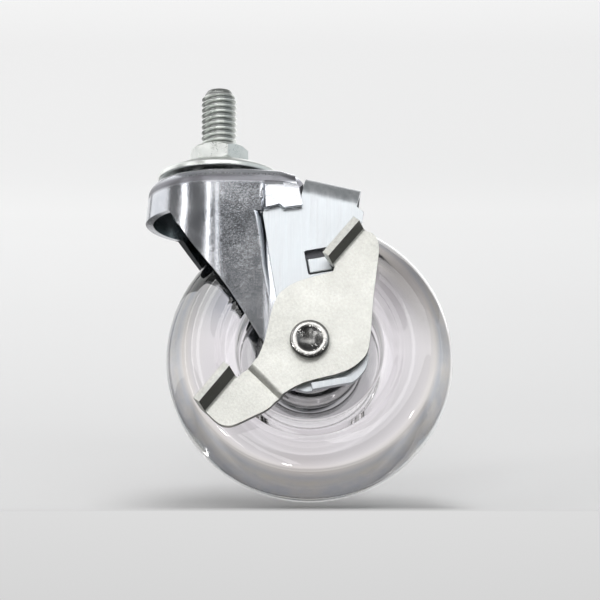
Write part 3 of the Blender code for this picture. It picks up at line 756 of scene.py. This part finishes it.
def near_inset(station, z):
    """How far the near side draws in: one straight taper below the crown's corner.

    The hook at the rear flares out of it, and the side bows a little along X.
    """
    out = max(0.0, min(station, 12.0))
    bow = (0.045 * out + 0.0022 * out ** 2) * smooth_step(CROWN_TOP, CORNER_Z, z)
    if z >= CORNER_Z:
        return bow
    inset = half_width(z) - max(LEG_HALF_WIDTH, CORNER_REACH - NEAR_TAPER * (CORNER_Z - z))
    flare = hook_flare(station) * smooth_step(-24.5, SKIRT_BOTTOM, z)
    return (inset + bow) * (1.0 - flare)


def front_reach(z):
    return half_width(max(z, SKIRT_BOTTOM)) - FRONT_FLATTENING


def shell(side, station, z):
    """A point of the fork's outer surface.

    A station is the x of a straight side, or where it is below zero the length along the
    round front, which ends at -ARC_RADIUS * pi / 2 on the centre plane.
    """
    half = half_width(z)
    inset = near_inset(station, z) if side < 0.0 else 0.0
    if station >= 0.0:
        return Vector((station, side * (half - inset), z + crown_dip(station, half, z)))
    turn = max(-math.pi / 2.0, station / ARC_RADIUS)
    front = front_reach(z) - inset * math.cos(turn)
    return Vector((front * math.sin(turn), side * (half - inset) * math.cos(turn), z))


def station_at(x, z):
    if x >= 0.0:
        return x
    return ARC_RADIUS * math.asin(max(-1.0, x / front_reach(z)))


HOOK_COLUMNS = 22
LEG_COLUMNS = 26
FRONT_COLUMNS = 14
FAR_COLUMNS = 30
FRONT_END = -ARC_RADIUS * math.pi / 2.0


def crown_columns(z):
    """(side, station) of every column from the near rear edge round the front to the far one."""
    rear = between(z, CROWN_REAR)
    near_start = station_at(NEAR_FRONT[0][0], SKIRT_BOTTOM)
    far_start = station_at(FAR_FRONT[0][0], SKIRT_BOTTOM)
    near = spread(rear, POCKET_START, HOOK_COLUMNS)
    near += spread(POCKET_START, near_start, LEG_COLUMNS)[1:]
    near += spread(near_start, FRONT_END, FRONT_COLUMNS)[1:]
    far = spread(FRONT_END, far_start, FRONT_COLUMNS)[1:] + spread(far_start, rear, FAR_COLUMNS)[1:]
    return [(-1.0, s) for s in near] + [(1.0, s) for s in far]


def add_crown(shape):
    levels = [CORNER_Z + CROWN_CORNER * math.cos(math.radians(7.5 * step)) for step in range(13)]
    levels += spread(CORNER_Z, SKIRT_BOTTOM, 8)[1:]
    rows = [[shell(side, station, z) for side, station in crown_columns(z)] for z in levels]
    add_grid(shape, rows)

    # The lanced edge of the hook over the pocket.
    hook = []
    for x in spread(between(SKIRT_BOTTOM, CROWN_REAR), POCKET_START, HOOK_COLUMNS):
        edge = shell(-1.0, x, SKIRT_BOTTOM)
        drop = between_x(x, HOOK_EDGE) - SKIRT_BOTTOM
        draw = -NEAR_TAPER * drop * (1.0 - hook_flare(x))
        hook.append([edge + Vector((0.0, draw * part, drop * part)) for part in (0.0, 0.5, 1.0)])
    add_grid(shape, [list(row) for row in zip(*hook)])

    # Top plate, race seat and its hole, with the rear edge closing the ring.
    top = rows[0]
    across = spread(top[-1].y, LIP_HALF_WIDTH, 2)[1:] + spread(LIP_HALF_WIDTH, -LIP_HALF_WIDTH, 16)[1:]
    across += spread(-LIP_HALF_WIDTH, top[0].y, 2)[1:]
    rear_line = [Vector((top[0].x, y, top[0].z)) for y in across]
    outer = top + rear_line
    angles = [math.atan2(point.y, point.x) for point in outer]
    rings = [(RACE_SEAT_RADIUS + 1.5, CROWN_TOP), (RACE_SEAT_RADIUS + 1.2, CROWN_TOP - 0.12),
             (RACE_SEAT_RADIUS + 0.6, CROWN_TOP - 0.7), (RACE_SEAT_RADIUS + 0.2, CROWN_TOP - 1.45),
             (RACE_SEAT_RADIUS - 0.3, RACE_SEAT_TOP), (10.0, RACE_SEAT_TOP),
             (FORK_HOLE_RADIUS, RACE_SEAT_TOP)]
    plate = [outer]
    for radius, z in rings:
        ring = [(radius * math.cos(a), radius * math.sin(a)) for a in angles]
        plate.append([Vector((x, y, z + crown_dip(x, y, z))) for x, y in ring])
    add_grid(shape, plate)

    # The rear lip slopes down over the tread.
    lip_base = [point for point in rear_line if abs(point.y) <= LIP_HALF_WIDTH + 1e-6]
    slope = [(0.0, 0.0), (0.5, -0.108), (0.95, -0.405), (1.3, -0.765), (2.2, -1.9)]
    add_grid(shape, [[point + Vector((x, 0.0, z)) for point in lip_base] for x, z in slope])


def joggle_offsets(depth):
    """(along, inward) steps of the bend that sets the near leg in behind the brake."""
    first, second = 2.1, 0.6
    if depth < first + second:
        angle = math.acos(1.0 - depth / (first + second))
        straight = 0.0
    else:
        angle = math.pi / 2.0
        straight = depth - first - second
    offsets = [(first * math.sin(part), first * (1.0 - math.cos(part)))
               for part in spread(0.0, angle, 8)[1:]]
    across, inward = offsets[-1]
    inward += straight
    offsets += [(across + second * (math.sin(angle) - math.sin(part)),
                 inward + second * (math.cos(part) - math.cos(angle))) for part in spread(angle, 0.0, 8)]
    return offsets


LEG_END_ANGLES = (6, 18, 30, 42, 54, 64, 72, 79, 84, 88)


def leg_levels(*bend):
    """Heights of a leg's rows: the skirt's edge, the bend under it, the leg and its round end."""
    end = [AXLE_Z - LEG_END_RADIUS * math.sin(math.radians(angle)) for angle in LEG_END_ANGLES]
    return [SKIRT_BOTTOM, *bend] + spread(-29.0, -58.0, 14) + end


def leg_edges(front):
    """The front and rear edges of a leg, each carried on round its end to the lowest point."""
    axle = (AXLE_X, AXLE_Z)
    return (front + arc(axle, LEG_END_RADIUS, 184.0, 269.0, 14),
            LEG_REAR + arc(axle, LEG_END_RADIUS, -8.0, -89.0, 14))


def add_near_leg(shape):
    """The near leg's front strip, and its plate set in behind the brake."""
    front, rear = leg_edges(NEAR_FRONT)
    outer_rows, plate_rows = [], []
    for z in leg_levels(-22.9, -24.4, -26.5):
        edge = min(between(z, POCKET_EDGE), between(z, rear) - 0.2)
        start = min(between(z, front), edge - 0.05)
        outer_rows.append([shell(-1.0, s, z) for s in spread(station_at(start, z), edge, LEG_COLUMNS)])
        if z > -22.8:
            continue
        corner = shell(-1.0, edge, z)
        depth = max(0.02, -corner.y - LEG_HALF_WIDTH)
        row = [corner] + [corner + Vector((across, inward, 0.0)) for across, inward in joggle_offsets(depth)]
        last = row[-1]
        rear_x = max(between(z, rear), last.x + 0.05)
        row += [Vector((x, last.y, z)) for x in spread(last.x, rear_x, 16)[1:]]
        plate_rows.append(row)
    add_grid(shape, outer_rows)
    add_grid(shape, plate_rows)


def add_far_leg(shape):
    front, rear = leg_edges(FAR_FRONT)
    rows = []
    for z in leg_levels(-22.0, -23.0, -24.0, -25.0, -27.0):
        start = station_at(between(z, front), z)
        end = max(between(z, rear), start + 0.1)
        rows.append([shell(1.0, s, z) for s in spread(start, end, FAR_COLUMNS)])
    add_grid(shape, rows)


def make_fork():
    shape = bmesh.new()
    add_crown(shape)
    add_near_leg(shape)
    add_far_leg(shape)
    weld(shape)
    foremost = min(shape.faces, key=lambda face: face.calc_center_median().x)
    if foremost.normal.x > 0.0:
        bmesh.ops.reverse_faces(shape, faces=shape.faces)
    fork = finish_mesh("stamped_fork", shape, ZINC, "swivel_fork", "fork", 60.0)
    thicken(fork, FORK_THICKNESS, -1.0)
    bore = axle_cutter(AXLE_RADIUS + GAP, *FORK_CUT)
    cut(fork, bore)
    break_edges(fork, 0.28, 2, 50.0)
    bake(fork, bore)
    make_lug()


def make_lug():
    """The lug of the near leg that guides the shoe in its window, and a thin dark pad round it, a sheet of
    painted shade in the window.
    """
    left, right, low, high = WINDOW
    play = 0.35
    foot, head = low + play, high - SHOE_TRAVEL - 0.4
    corners = [(left + play, foot), (right - play, foot), (right - play, head), (left + play, head)]
    lug = brake_prism(corners, SHOE_Y - 0.8, -LEG_HALF_WIDTH + 0.6, "fork_lug")
    # The seat is a thin dark pad: painted shade in the window round the lug.
    seat = brake_prism(rounded_box(left - 1.0, right + 1.0, low - 1.0, high + 1.0, 0.5),
                       -LEG_HALF_WIDTH - 0.12, -LEG_HALF_WIDTH + 0.3, "fork_lug_shade_pad")
    for piece, look, edge in ((lug, SHOE_ZINC, 0.4), (seat, SHADE_PAD_ZINC, 0.05)):
        piece.data.shade_smooth()
        break_edges(piece, edge, 3, 30.0)
        bake(piece)
        dress(piece, look, "swivel_fork", "fork")


# ---------------------------------------------------------------- axle, bearings and wheel

NEAR_AND_FAR = ((-1.0, "near"), (1.0, "far"))


def make_axle():
    near_head = LEVER_Y - LEVER_THICKNESS / 2.0 - GAP
    near_face = RIVET_LOW.y
    far_head = LEG_HALF_WIDTH + GAP
    profile = [(0.0, near_face + 1.7), (3.3, near_face + 0.12), (3.7, near_face), (4.4, near_face),
               (4.95, near_face + 0.25), (5.2, near_face + 0.8), (5.2, near_head),
               (AXLE_RADIUS, near_head), (AXLE_RADIUS, far_head), (6.5, far_head),
               (6.3, far_head + 0.9), (5.4, far_head + 1.9), (3.9, far_head + 2.4), (0.0, RIVET_HIGH.y)]
    turned("axle_rivet_turned", profile, RIVET_STEEL, "swivel_fork", "axle_rivet",
           0.16, False, 96, True, 28.0)
    half = 4.9
    bore = AXLE_RADIUS + GAP
    axle_ring("bearing_spacer_tube", [(bore, half), (6.0, half), (6.0, -half), (bore, -half)],
              RIVET_STEEL, "swivel_fork", "bearing_spacer", 0.2)
    for side, name in NEAR_AND_FAR:
        low, high = 12.5 * side, 13.3 * side
        axle_ring(f"axle_shim_{name}", [(bore, low), (7.5, low), (7.5, high), (bore, high)],
                  RIVET_STEEL, "swivel_fork", f"axle_washer_{name}", 0.15)


def make_bearings():
    bore = AXLE_RADIUS + GAP
    for side, name in NEAR_AND_FAR:
        back, face = 5.2 * side, 12.2 * side
        groove = [(5.85, back), (5.85, 7.4 * side), (5.45, 8.1 * side), (5.45, 9.3 * side),
                  (5.85, 10.0 * side), (5.85, face)]
        inner = [(bore, back)] + groove + [(bore, face)]
        axle_ring(f"{name}_inner_ring", inner, BEARING_STEEL, "swivel_fork",
                  f"{name}_bearing_inner_race", 0.25)
        outer = [(9.55, back), (10.7, back), (10.7, face), (9.55, face)]
        axle_ring(f"{name}_outer_ring", outer, BEARING_STEEL, "wheel",
                  f"{name}_bearing_outer_race", 0.3)
        low, high = 11.4 * side, 11.9 * side
        shield = [(6.25, low), (9.25, low), (9.25, high), (8.7, high), (8.5, high - 0.2 * side),
                  (7.0, high - 0.2 * side), (6.8, high), (6.25, high)]
        axle_ring(f"{name}_shield_ring", shield, SHIELD_STEEL, "wheel",
                  f"{name}_bearing_shield", 0.1)


def make_wheel():
    crown = 17.0
    half = WHEEL_HALF
    centre = WHEEL_RADIUS - crown
    edge = math.asin((half - 1.2) / crown)
    tread = [(centre + crown * math.cos(angle), crown * math.sin(angle))
             for angle in spread(edge, -edge, 48)]
    shoulder = tread[0][0]
    bond = CORE_RADIUS + GAP / 2.0
    side = [(bond, half)]
    for radius in (23.6, 25.0):
        side += [(radius - 0.25, half), (radius, half - 0.06), (radius + 0.25, half)]
    start, middle, end = Vector((shoulder - 3.8, half)), Vector((shoulder - 1.1, half)), Vector(tread[0])
    side += [tuple(rounded(start, middle, end, t)) for t in spread(0.0, 1.0, 14)[:-1]]
    profile = side + tread + [(radius, -y) for radius, y in reversed(side)]
    shape = bmesh.new()
    revolve(shape, profile, 192, False, (AXLE_X, 0.0, AXLE_Z), True)
    finish_mesh("clear_tyre", shape, CLEAR_TYRE, "wheel", "wheel_tyre", 50.0)

    web, hub, recess = 5.0, 13.6, 19.05
    bore = 11.0
    seat = 4.9
    one_side = [(9.2, seat), (bore, seat), (bore, 12.4), (hub, 12.4), (hub + 0.1, web + 0.4),
                (hub + 0.5, web), (recess - 0.5, web), (recess - 0.1, web + 0.4), (recess, half - 0.6),
                (recess + 0.5, half), (bond, half)]
    core = [(radius, -y) for radius, y in reversed(one_side)] + one_side
    turned("clear_core", core, CLEAR_CORE, "wheel", "wheel_core", 0.5, False, 192, True, 50.0)


# ---------------------------------------------------------------- brake

def make_shoe():
    y = SHOE_Y
    bend = 5.1
    top_line = [Vector((23.5, 0.0, -12.7)), Vector((38.1, 0.0, -16.0))]
    along = (top_line[1] - top_line[0]).normalized()
    rise = Vector((-along.z, 0.0, along.x))
    drop = bend + SHOE_THICKNESS / 2.0
    base = [point - rise * drop + Vector((0.0, y, 0.0)) for point in top_line]
    shape = bmesh.new()
    add_grid(shape, bend_rows(base, rise, (0.0, 1.0, 0.0), math.radians(103.0), bend, 11.5, 18))

    foot_up = -11.0 - SHOE_THICKNESS / 2.0
    foot_base = at_brake([(-1.5, foot_up + 1.0), (9.3, foot_up + 1.0)], y)
    x, z = brake_point(0.0, 1.0)
    down = Vector((AXLE_X - x, 0.0, AXLE_Z - z))
    add_grid(shape, bend_rows(foot_base, down, (0.0, -1.0, 0.0), math.radians(90.0), 1.0, 1.9, 8))

    corner = curve_through([(-1.5, foot_up - 0.9), (-3.2, foot_up - 0.8), (-5.0, foot_up + 0.1),
                            (-6.4, foot_up + 1.8), (-6.7, foot_up + 3.6)])
    left_side = corner + [(-6.0, 36.6), (-5.85, 37.6), (-5.3, 38.5), (-4.4, 38.9), (-2.0, 39.4),
                          (4.6, 39.0)]
    right_side = [(20.4, 33.0), (19.6, 30.6), (14.9, 26.0)]
    right_side += curve_through([(14.7, -6.2), (13.6, -8.8), (11.6, -10.9), (9.3, foot_up - 0.4)])
    add_panel(shape, at_brake(left_side, y) + base + at_brake(right_side, y) + foot_base[::-1])
    weld(shape)
    shoe = finish_mesh("brake_shoe_plate", shape, SHOE_ZINC, "shoe", "brake_shoe", 60.0)
    thicken(shoe, SHOE_THICKNESS, 0.0)

    opening = brake_prism(rounded_box(*WINDOW, 0.5), *SHOE_CUT)
    radius = AXLE_RADIUS + GAP
    slot = arc((0.0, 0.0), radius, 180.0, 360.0, 24)
    slot += arc((0.0, SHOE_TRAVEL + 0.1), radius, 0.0, 180.0, 24)
    track = brake_prism(slot, *SHOE_CUT)
    cut(shoe, opening)
    cut(shoe, track)
    break_edges(shoe, 0.25, 3)
    bake(shoe, opening, track)


def rounded_box(left, right, low, high, radius):
    corners = ((right - radius, high - radius, 0.0), (left + radius, high - radius, 90.0),
               (left + radius, low + radius, 180.0), (right - radius, low + radius, 270.0))
    made = []
    for x, z, start in corners:
        made += arc((x, z), radius, start, start + 90.0, 5)
    return made


LEVER_RIGHT = [(20.5, -71.7), (23.3, -70.5), (26.8, -69.5), (31.5, -68.3), (35.0, -66.9), (37.8, -64.7),
               (39.5, -62.2), (40.2, -58.5), (40.6, -54.0), (41.0, -48.4), (42.0, -40.0), (42.6, -34.2),
               (42.1, -31.6), (40.9, -30.0)]
LEVER_TAB_BASE = [(39.2, -29.3), (31.0, -39.1)]
LEVER_LEFT = [(30.5, -40.4), (24.5, -42.1), (20.7, -43.4), (17.8, -45.2), (15.7, -47.5), (14.2, -51.9),
              (12.7, -58.6), (11.8, -61.3), (10.9, -63.5)]
JOGGLE = [(9.5, -65.3), (17.7, -73.4)]
JOGGLE_STEP = Vector((-1.1, 1.7, -1.1))
PEDAL_TAB_BASE = [(5.5, -68.8), (-2.4, -78.5)]
PEDAL_ROUND = [(-0.6, -80.3), (1.1, -81.5), (2.9, -81.9), (5.0, -81.5), (9.8, -79.2), (13.3, -77.4),
               (15.5, -75.3)]
TAB_ANGLE = math.radians(70.0)
TAB_BEND = 2.0


def make_lever():
    y = LEVER_Y
    pedal_y = y + JOGGLE_STEP.y
    shape = bmesh.new()
    outline = JOGGLE[1:] + curve_through(LEVER_RIGHT) + LEVER_TAB_BASE
    outline += curve_through(LEVER_LEFT) + JOGGLE[:1]
    add_panel(shape, at_depth(outline, y))
    top = at_depth(JOGGLE, y)
    rows = []
    for t in spread(0.0, 1.0, 6):
        part = Vector((JOGGLE_STEP.x * t, JOGGLE_STEP.y * smooth_step(0.0, 1.0, t), JOGGLE_STEP.z * t))
        rows.append([point + part for point in top])
    add_grid(shape, rows)
    edge = [(6.7, -67.6)] + PEDAL_TAB_BASE + curve_through(PEDAL_ROUND)
    add_panel(shape, [rows[-1][0]] + at_depth(edge, pedal_y) + [rows[-1][1]])
    for base, depth, flat in ((LEVER_TAB_BASE, y, 4.3), (PEDAL_TAB_BASE, pedal_y, 5.3)):
        start, end = at_depth(base, depth)
        along = (end - start).normalized()
        away = Vector((along.z, 0.0, -along.x))
        add_grid(shape, bend_rows([start, end], away, (0.0, -1.0, 0.0), TAB_ANGLE, TAB_BEND, flat, 8))
    weld(shape)
    lever = finish_mesh("brake_lever_plate", shape, LEVER_STEEL, "lever", "brake_lever", 60.0)
    thicken(lever, LEVER_THICKNESS, 0.0)
    bore = axle_cutter(AXLE_RADIUS + GAP, *LEVER_CUT)
    cut(lever, bore)
    break_edges(lever, 0.42, 3)
    bake(lever, bore)


# ---------------------------------------------------------------- stage, lights and camera

STAGE_DEPTH = 1100.0
STAGE_LENGTH = 1600.0
STAGE_HEIGHT = 900.0
STAGE_SLOPE = math.radians(24.0)
STAGE_FOOT = 4.0
STAGE_BEND = 5.0
STAGE_GLOW_REACH = 550.0
STAGE_DROP = 2.2        # how far the stage lies below the tread


def stage_profile():
    """(distance, height) of one side of the sweep: flat foot, even slope, then up to a wall."""
    foot = STAGE_FOOT * 0.6
    points = [(0.0, 0.0), (foot, 0.0)]
    points += [(foot + STAGE_BEND * math.sin(angle), STAGE_BEND * (1.0 - math.cos(angle)))
               for angle in spread(0.0, STAGE_SLOPE, 6)[1:]]
    base_x, base_z = points[-1]
    points += [(distance, base_z + (distance - base_x) * math.tan(STAGE_SLOPE))
               for distance in (20.0, 40.0, 80.0, 160.0, 320.0, 500.0, 700.0)]
    last_x, last_z = points[-1]
    radius = (STAGE_DEPTH - last_x) / (1.0 - math.sin(STAGE_SLOPE))
    points += [(last_x + radius * (math.sin(angle) - math.sin(STAGE_SLOPE)),
                last_z + radius * (math.cos(STAGE_SLOPE) - math.cos(angle)))
               for angle in spread(STAGE_SLOPE, math.pi / 2.0, 12)[1:]]
    points.append((points[-1][0], STAGE_HEIGHT))
    return points


def make_stage():
    """A pale sweep under the wheel, seen only from its inside."""
    half = stage_profile()
    profile = [(-distance, height) for distance, height in reversed(half)] + half[1:]
    shape = bmesh.new()
    rows = [[Vector((AXLE_X + x, y, GROUND - STAGE_DROP + height)) for y, height in profile]
            for x in spread(-STAGE_LENGTH, STAGE_LENGTH, 16)]
    add_grid(shape, rows)
    foot = min(shape.faces, key=lambda face: face.calc_center_median().z)
    foot.normal_update()
    if foot.normal.z < 0.0:
        bmesh.ops.reverse_faces(shape, faces=shape.faces)
    stage = plain_object("studio_sweep", shape)
    stage.data.shade_smooth()
    stage.data.materials.append(stage_material())
    stage.parent = frame["bodies"]["swivel_fork"]
    for ray in ("glossy", "diffuse", "transmission", "shadow"):
        setattr(stage, f"visible_{ray}", False)


def stage_material():
    """Pale matt paper that glows, painted light that grows further up, and clear from behind."""
    made = bpy.data.materials.new("pale_paper")
    made.use_nodes = True
    graph = Graph(made.node_tree)
    graph.nodes.clear()
    geometry = graph.add("NewGeometry")
    rise = graph.add("SeparateXYZ", [("Vector", geometry.outputs["Position"])]).outputs["Z"]
    floor = (GROUND - STAGE_DROP) * MM

    def by_rise(reach, stops):
        """Brightness for the height above the stage's foot, up to a reach in millimetres."""
        return graph.ramp(graph.fit(rise, 0.0, 1.0, floor, floor + reach * MM), stops)

    # Painted light: the paper glows, more further up, so that it runs into the backdrop; its lowest strip
    # glows brighter and scatters less, which fills in the shadow there.
    backing = by_rise(STAGE_GLOW_REACH, [(0.0, 0.08), (0.12, 0.12), (0.27, 0.216), (0.48, 0.385),
                                         (0.79, 0.48), (1.0, 0.68)])
    edge = by_rise(STAGE_DROP, [(0.0, 0.58), (0.3, 0.50), (1.0, 0.0)])
    white = by_rise(STAGE_DROP, [(0.0, 0.04), (0.3, 0.10), (1.0, 0.62)])
    paper = graph.add("BsdfDiffuse", [("Color", white)]).outputs["BSDF"]
    glow = graph.add("Emission", [("Color", graph.vector("ADD", backing, edge))]).outputs["Emission"]
    lit = graph.add("AddShader", [(0, paper), (1, glow)]).outputs["Shader"]
    behind = graph.add("BsdfTransparent").outputs["BSDF"]
    side = graph.add("MixShader", [("Fac", geometry.outputs["Backfacing"]), (1, lit), (2, behind)])
    graph.add("OutputMaterial", [("Surface", side.outputs["Shader"])])
    return made


LIGHT_AIM = Vector((20.0, 0.0, -50.0))
LIGHT_DISTANCE = 900.0
SPARK_STRENGTH = 90.0


def soft_light(name, azimuth, elevation, width, height, strength, colour=(1.0, 1.0, 1.0)):
    """A softbox aimed at the caster; azimuth 0 is in front of it, positive to the right."""
    a, e = math.radians(azimuth), math.radians(elevation)
    outward = Vector((math.sin(a) * math.cos(e), -math.cos(a) * math.cos(e), math.sin(e)))
    light = bpy.data.lights.new(name, "AREA")
    light.shape = "RECTANGLE"
    light.size = width * MM
    light.size_y = height * MM
    light.energy = strength * math.pi * width * height * MM * MM
    light.color = colour
    made = add_object(name, light)
    made.location = (LIGHT_AIM + outward * LIGHT_DISTANCE) * MM
    made.rotation_euler = outward.to_track_quat("Z", "Y").to_euler()
    made.visible_transmission = False
    made.visible_camera = False
    return made


def make_lights():
    top = soft_light("top_softbox", 0.0, 83.0, 300.0, 300.0, 13.5)
    top.visible_glossy = False
    soft_light("front_softbox", 10.0, 21.5, 900.0, 260.0, 2.25)
    soft_light("streak_middle", -2.6, 13.0, 40.0, 800.0, 2.6)
    soft_light("streak_inner", -17.0, 13.0, 60.0, 800.0, 4.0)
    soft_light("streak_outer", -57.0, 13.0, 100.0, 800.0, 4.0)
    soft_light("left_fill", -112.0, 28.0, 800.0, 900.0, 1.1)
    soft_light("right_fill", 75.0, 10.0, 1300.0, 700.0, 0.5, (0.88, 0.96, 1.0))
    # Small bright lamps that only shine in polished and clear pieces.
    for name, azimuth, elevation, size in (
            ("left", -30.0, 38.0, 24.0), ("front", -12.0, 46.0, 18.0), ("low_left", -24.0, -9.0, 44.0),
            ("low_right", 32.0, -6.0, 34.0), ("low_front", -6.0, -19.0, 40.0),
            ("low_side", -44.0, -4.0, 40.0)):
        spark = soft_light(f"spark_{name}", azimuth, elevation, size, size, SPARK_STRENGTH)
        spark.visible_transmission = True
        spark.visible_diffuse = False
    # Lights behind the caster for its other side; they leave matt pieces and the stage alone.
    for name, azimuth, elevation, width, height, strength in (
            ("back_rim", 165.0, 35.0, 500.0, 500.0, 1.0), ("back_fill", 180.0, 12.0, 1200.0, 900.0, 0.8),
            ("back_side", 135.0, 0.0, 900.0, 900.0, 0.6)):
        soft_light(name, azimuth, elevation, width, height, strength).visible_diffuse = False
    make_world()


def make_world():
    """What a ray meets behind everything: a room, a bright field through plastic, or the backdrop."""
    world = bpy.data.worlds.new("studio")
    bpy.context.scene.world = world
    world.use_nodes = True
    graph = Graph(world.node_tree)
    ray = graph.add("TexCoord").outputs["Generated"]
    heading = graph.add("SeparateXYZ", [("Vector", ray)])
    upward = graph.fit(heading.outputs["Z"], 0.0, 1.0, -1.0, 1.0)

    def by_height(stops):
        """Brightness for the height a ray heads to, from -1 straight down to 1 straight up."""
        return graph.ramp(upward, [((height + 1.0) / 2.0, value) for height, value in stops])

    room = by_height([(-0.3, 0.08), (0.05, 0.13), (0.15, 0.15), (0.35, 0.21), (0.6, 0.36), (1.0, 0.42)])
    through = by_height([(-1.0, 0.60), (-0.4, 0.72), (0.0, 0.74), (0.2, 0.70), (0.33, 0.92),
                         (0.5, 0.66), (0.7, 0.44), (1.0, 0.36)])
    backdrop = by_height([(0.20, 0.655), (0.335, 0.99)])
    # Clear plastic darkens where it bends rays far to the side.
    across = graph.add("Math", [(0, heading.outputs["X"])], operation="ABSOLUTE").outputs[0]
    through = graph.blend(graph.fit(across, 0.0, 0.4, 0.25, 0.8), through, (0.0, 0.0, 0.0))
    path = graph.add("LightPath")
    seen = graph.blend(path.outputs["Is Transmission Ray"], room, through)
    seen = graph.blend(path.outputs["Is Camera Ray"], seen, backdrop)
    graph.feed(graph.nodes["Background"].inputs["Color"], seen)


def make_camera():
    """The caster seen from the brake side and 15.8 degrees below."""
    pitch = math.radians(15.8)
    forward = Vector((0.0, math.cos(pitch), math.sin(pitch)))
    up = Vector((0.0, -math.sin(pitch), math.cos(pitch)))
    aim = Vector((AXLE_X - 2.49, 0.0, AXLE_Z)) + up * 16.22
    distance = 1200.0
    view_width = 159.6
    data = bpy.data.cameras.new("camera")
    data.sensor_width = 36.0
    data.lens = 36.0 * distance / view_width
    data.clip_start, data.clip_end = 0.05, 20.0
    camera = add_object("camera", data)
    camera.location = (aim - forward * distance) * MM
    camera.rotation_euler = (-forward).to_track_quat("Z", "Y").to_euler()
    bpy.context.scene.camera = camera


def dress_balls():
    """The balls keep their own shape and take the bearing steel."""
    for name, node in frame["nodes"].items():
        if "ball" in name:
            if not node.data.materials:
                node.data.materials.append(BEARING_STEEL)
            for slot in node.material_slots:
                slot.material = BEARING_STEEL


make_camera()
make_stem()
make_cap()
make_cup()
make_fork()
make_axle()
make_bearings()
make_wheel()
make_shoe()
make_lever()
dress_balls()
make_stage()
make_lights()
bpy.context.scene.view_settings.view_transform = "Standard"
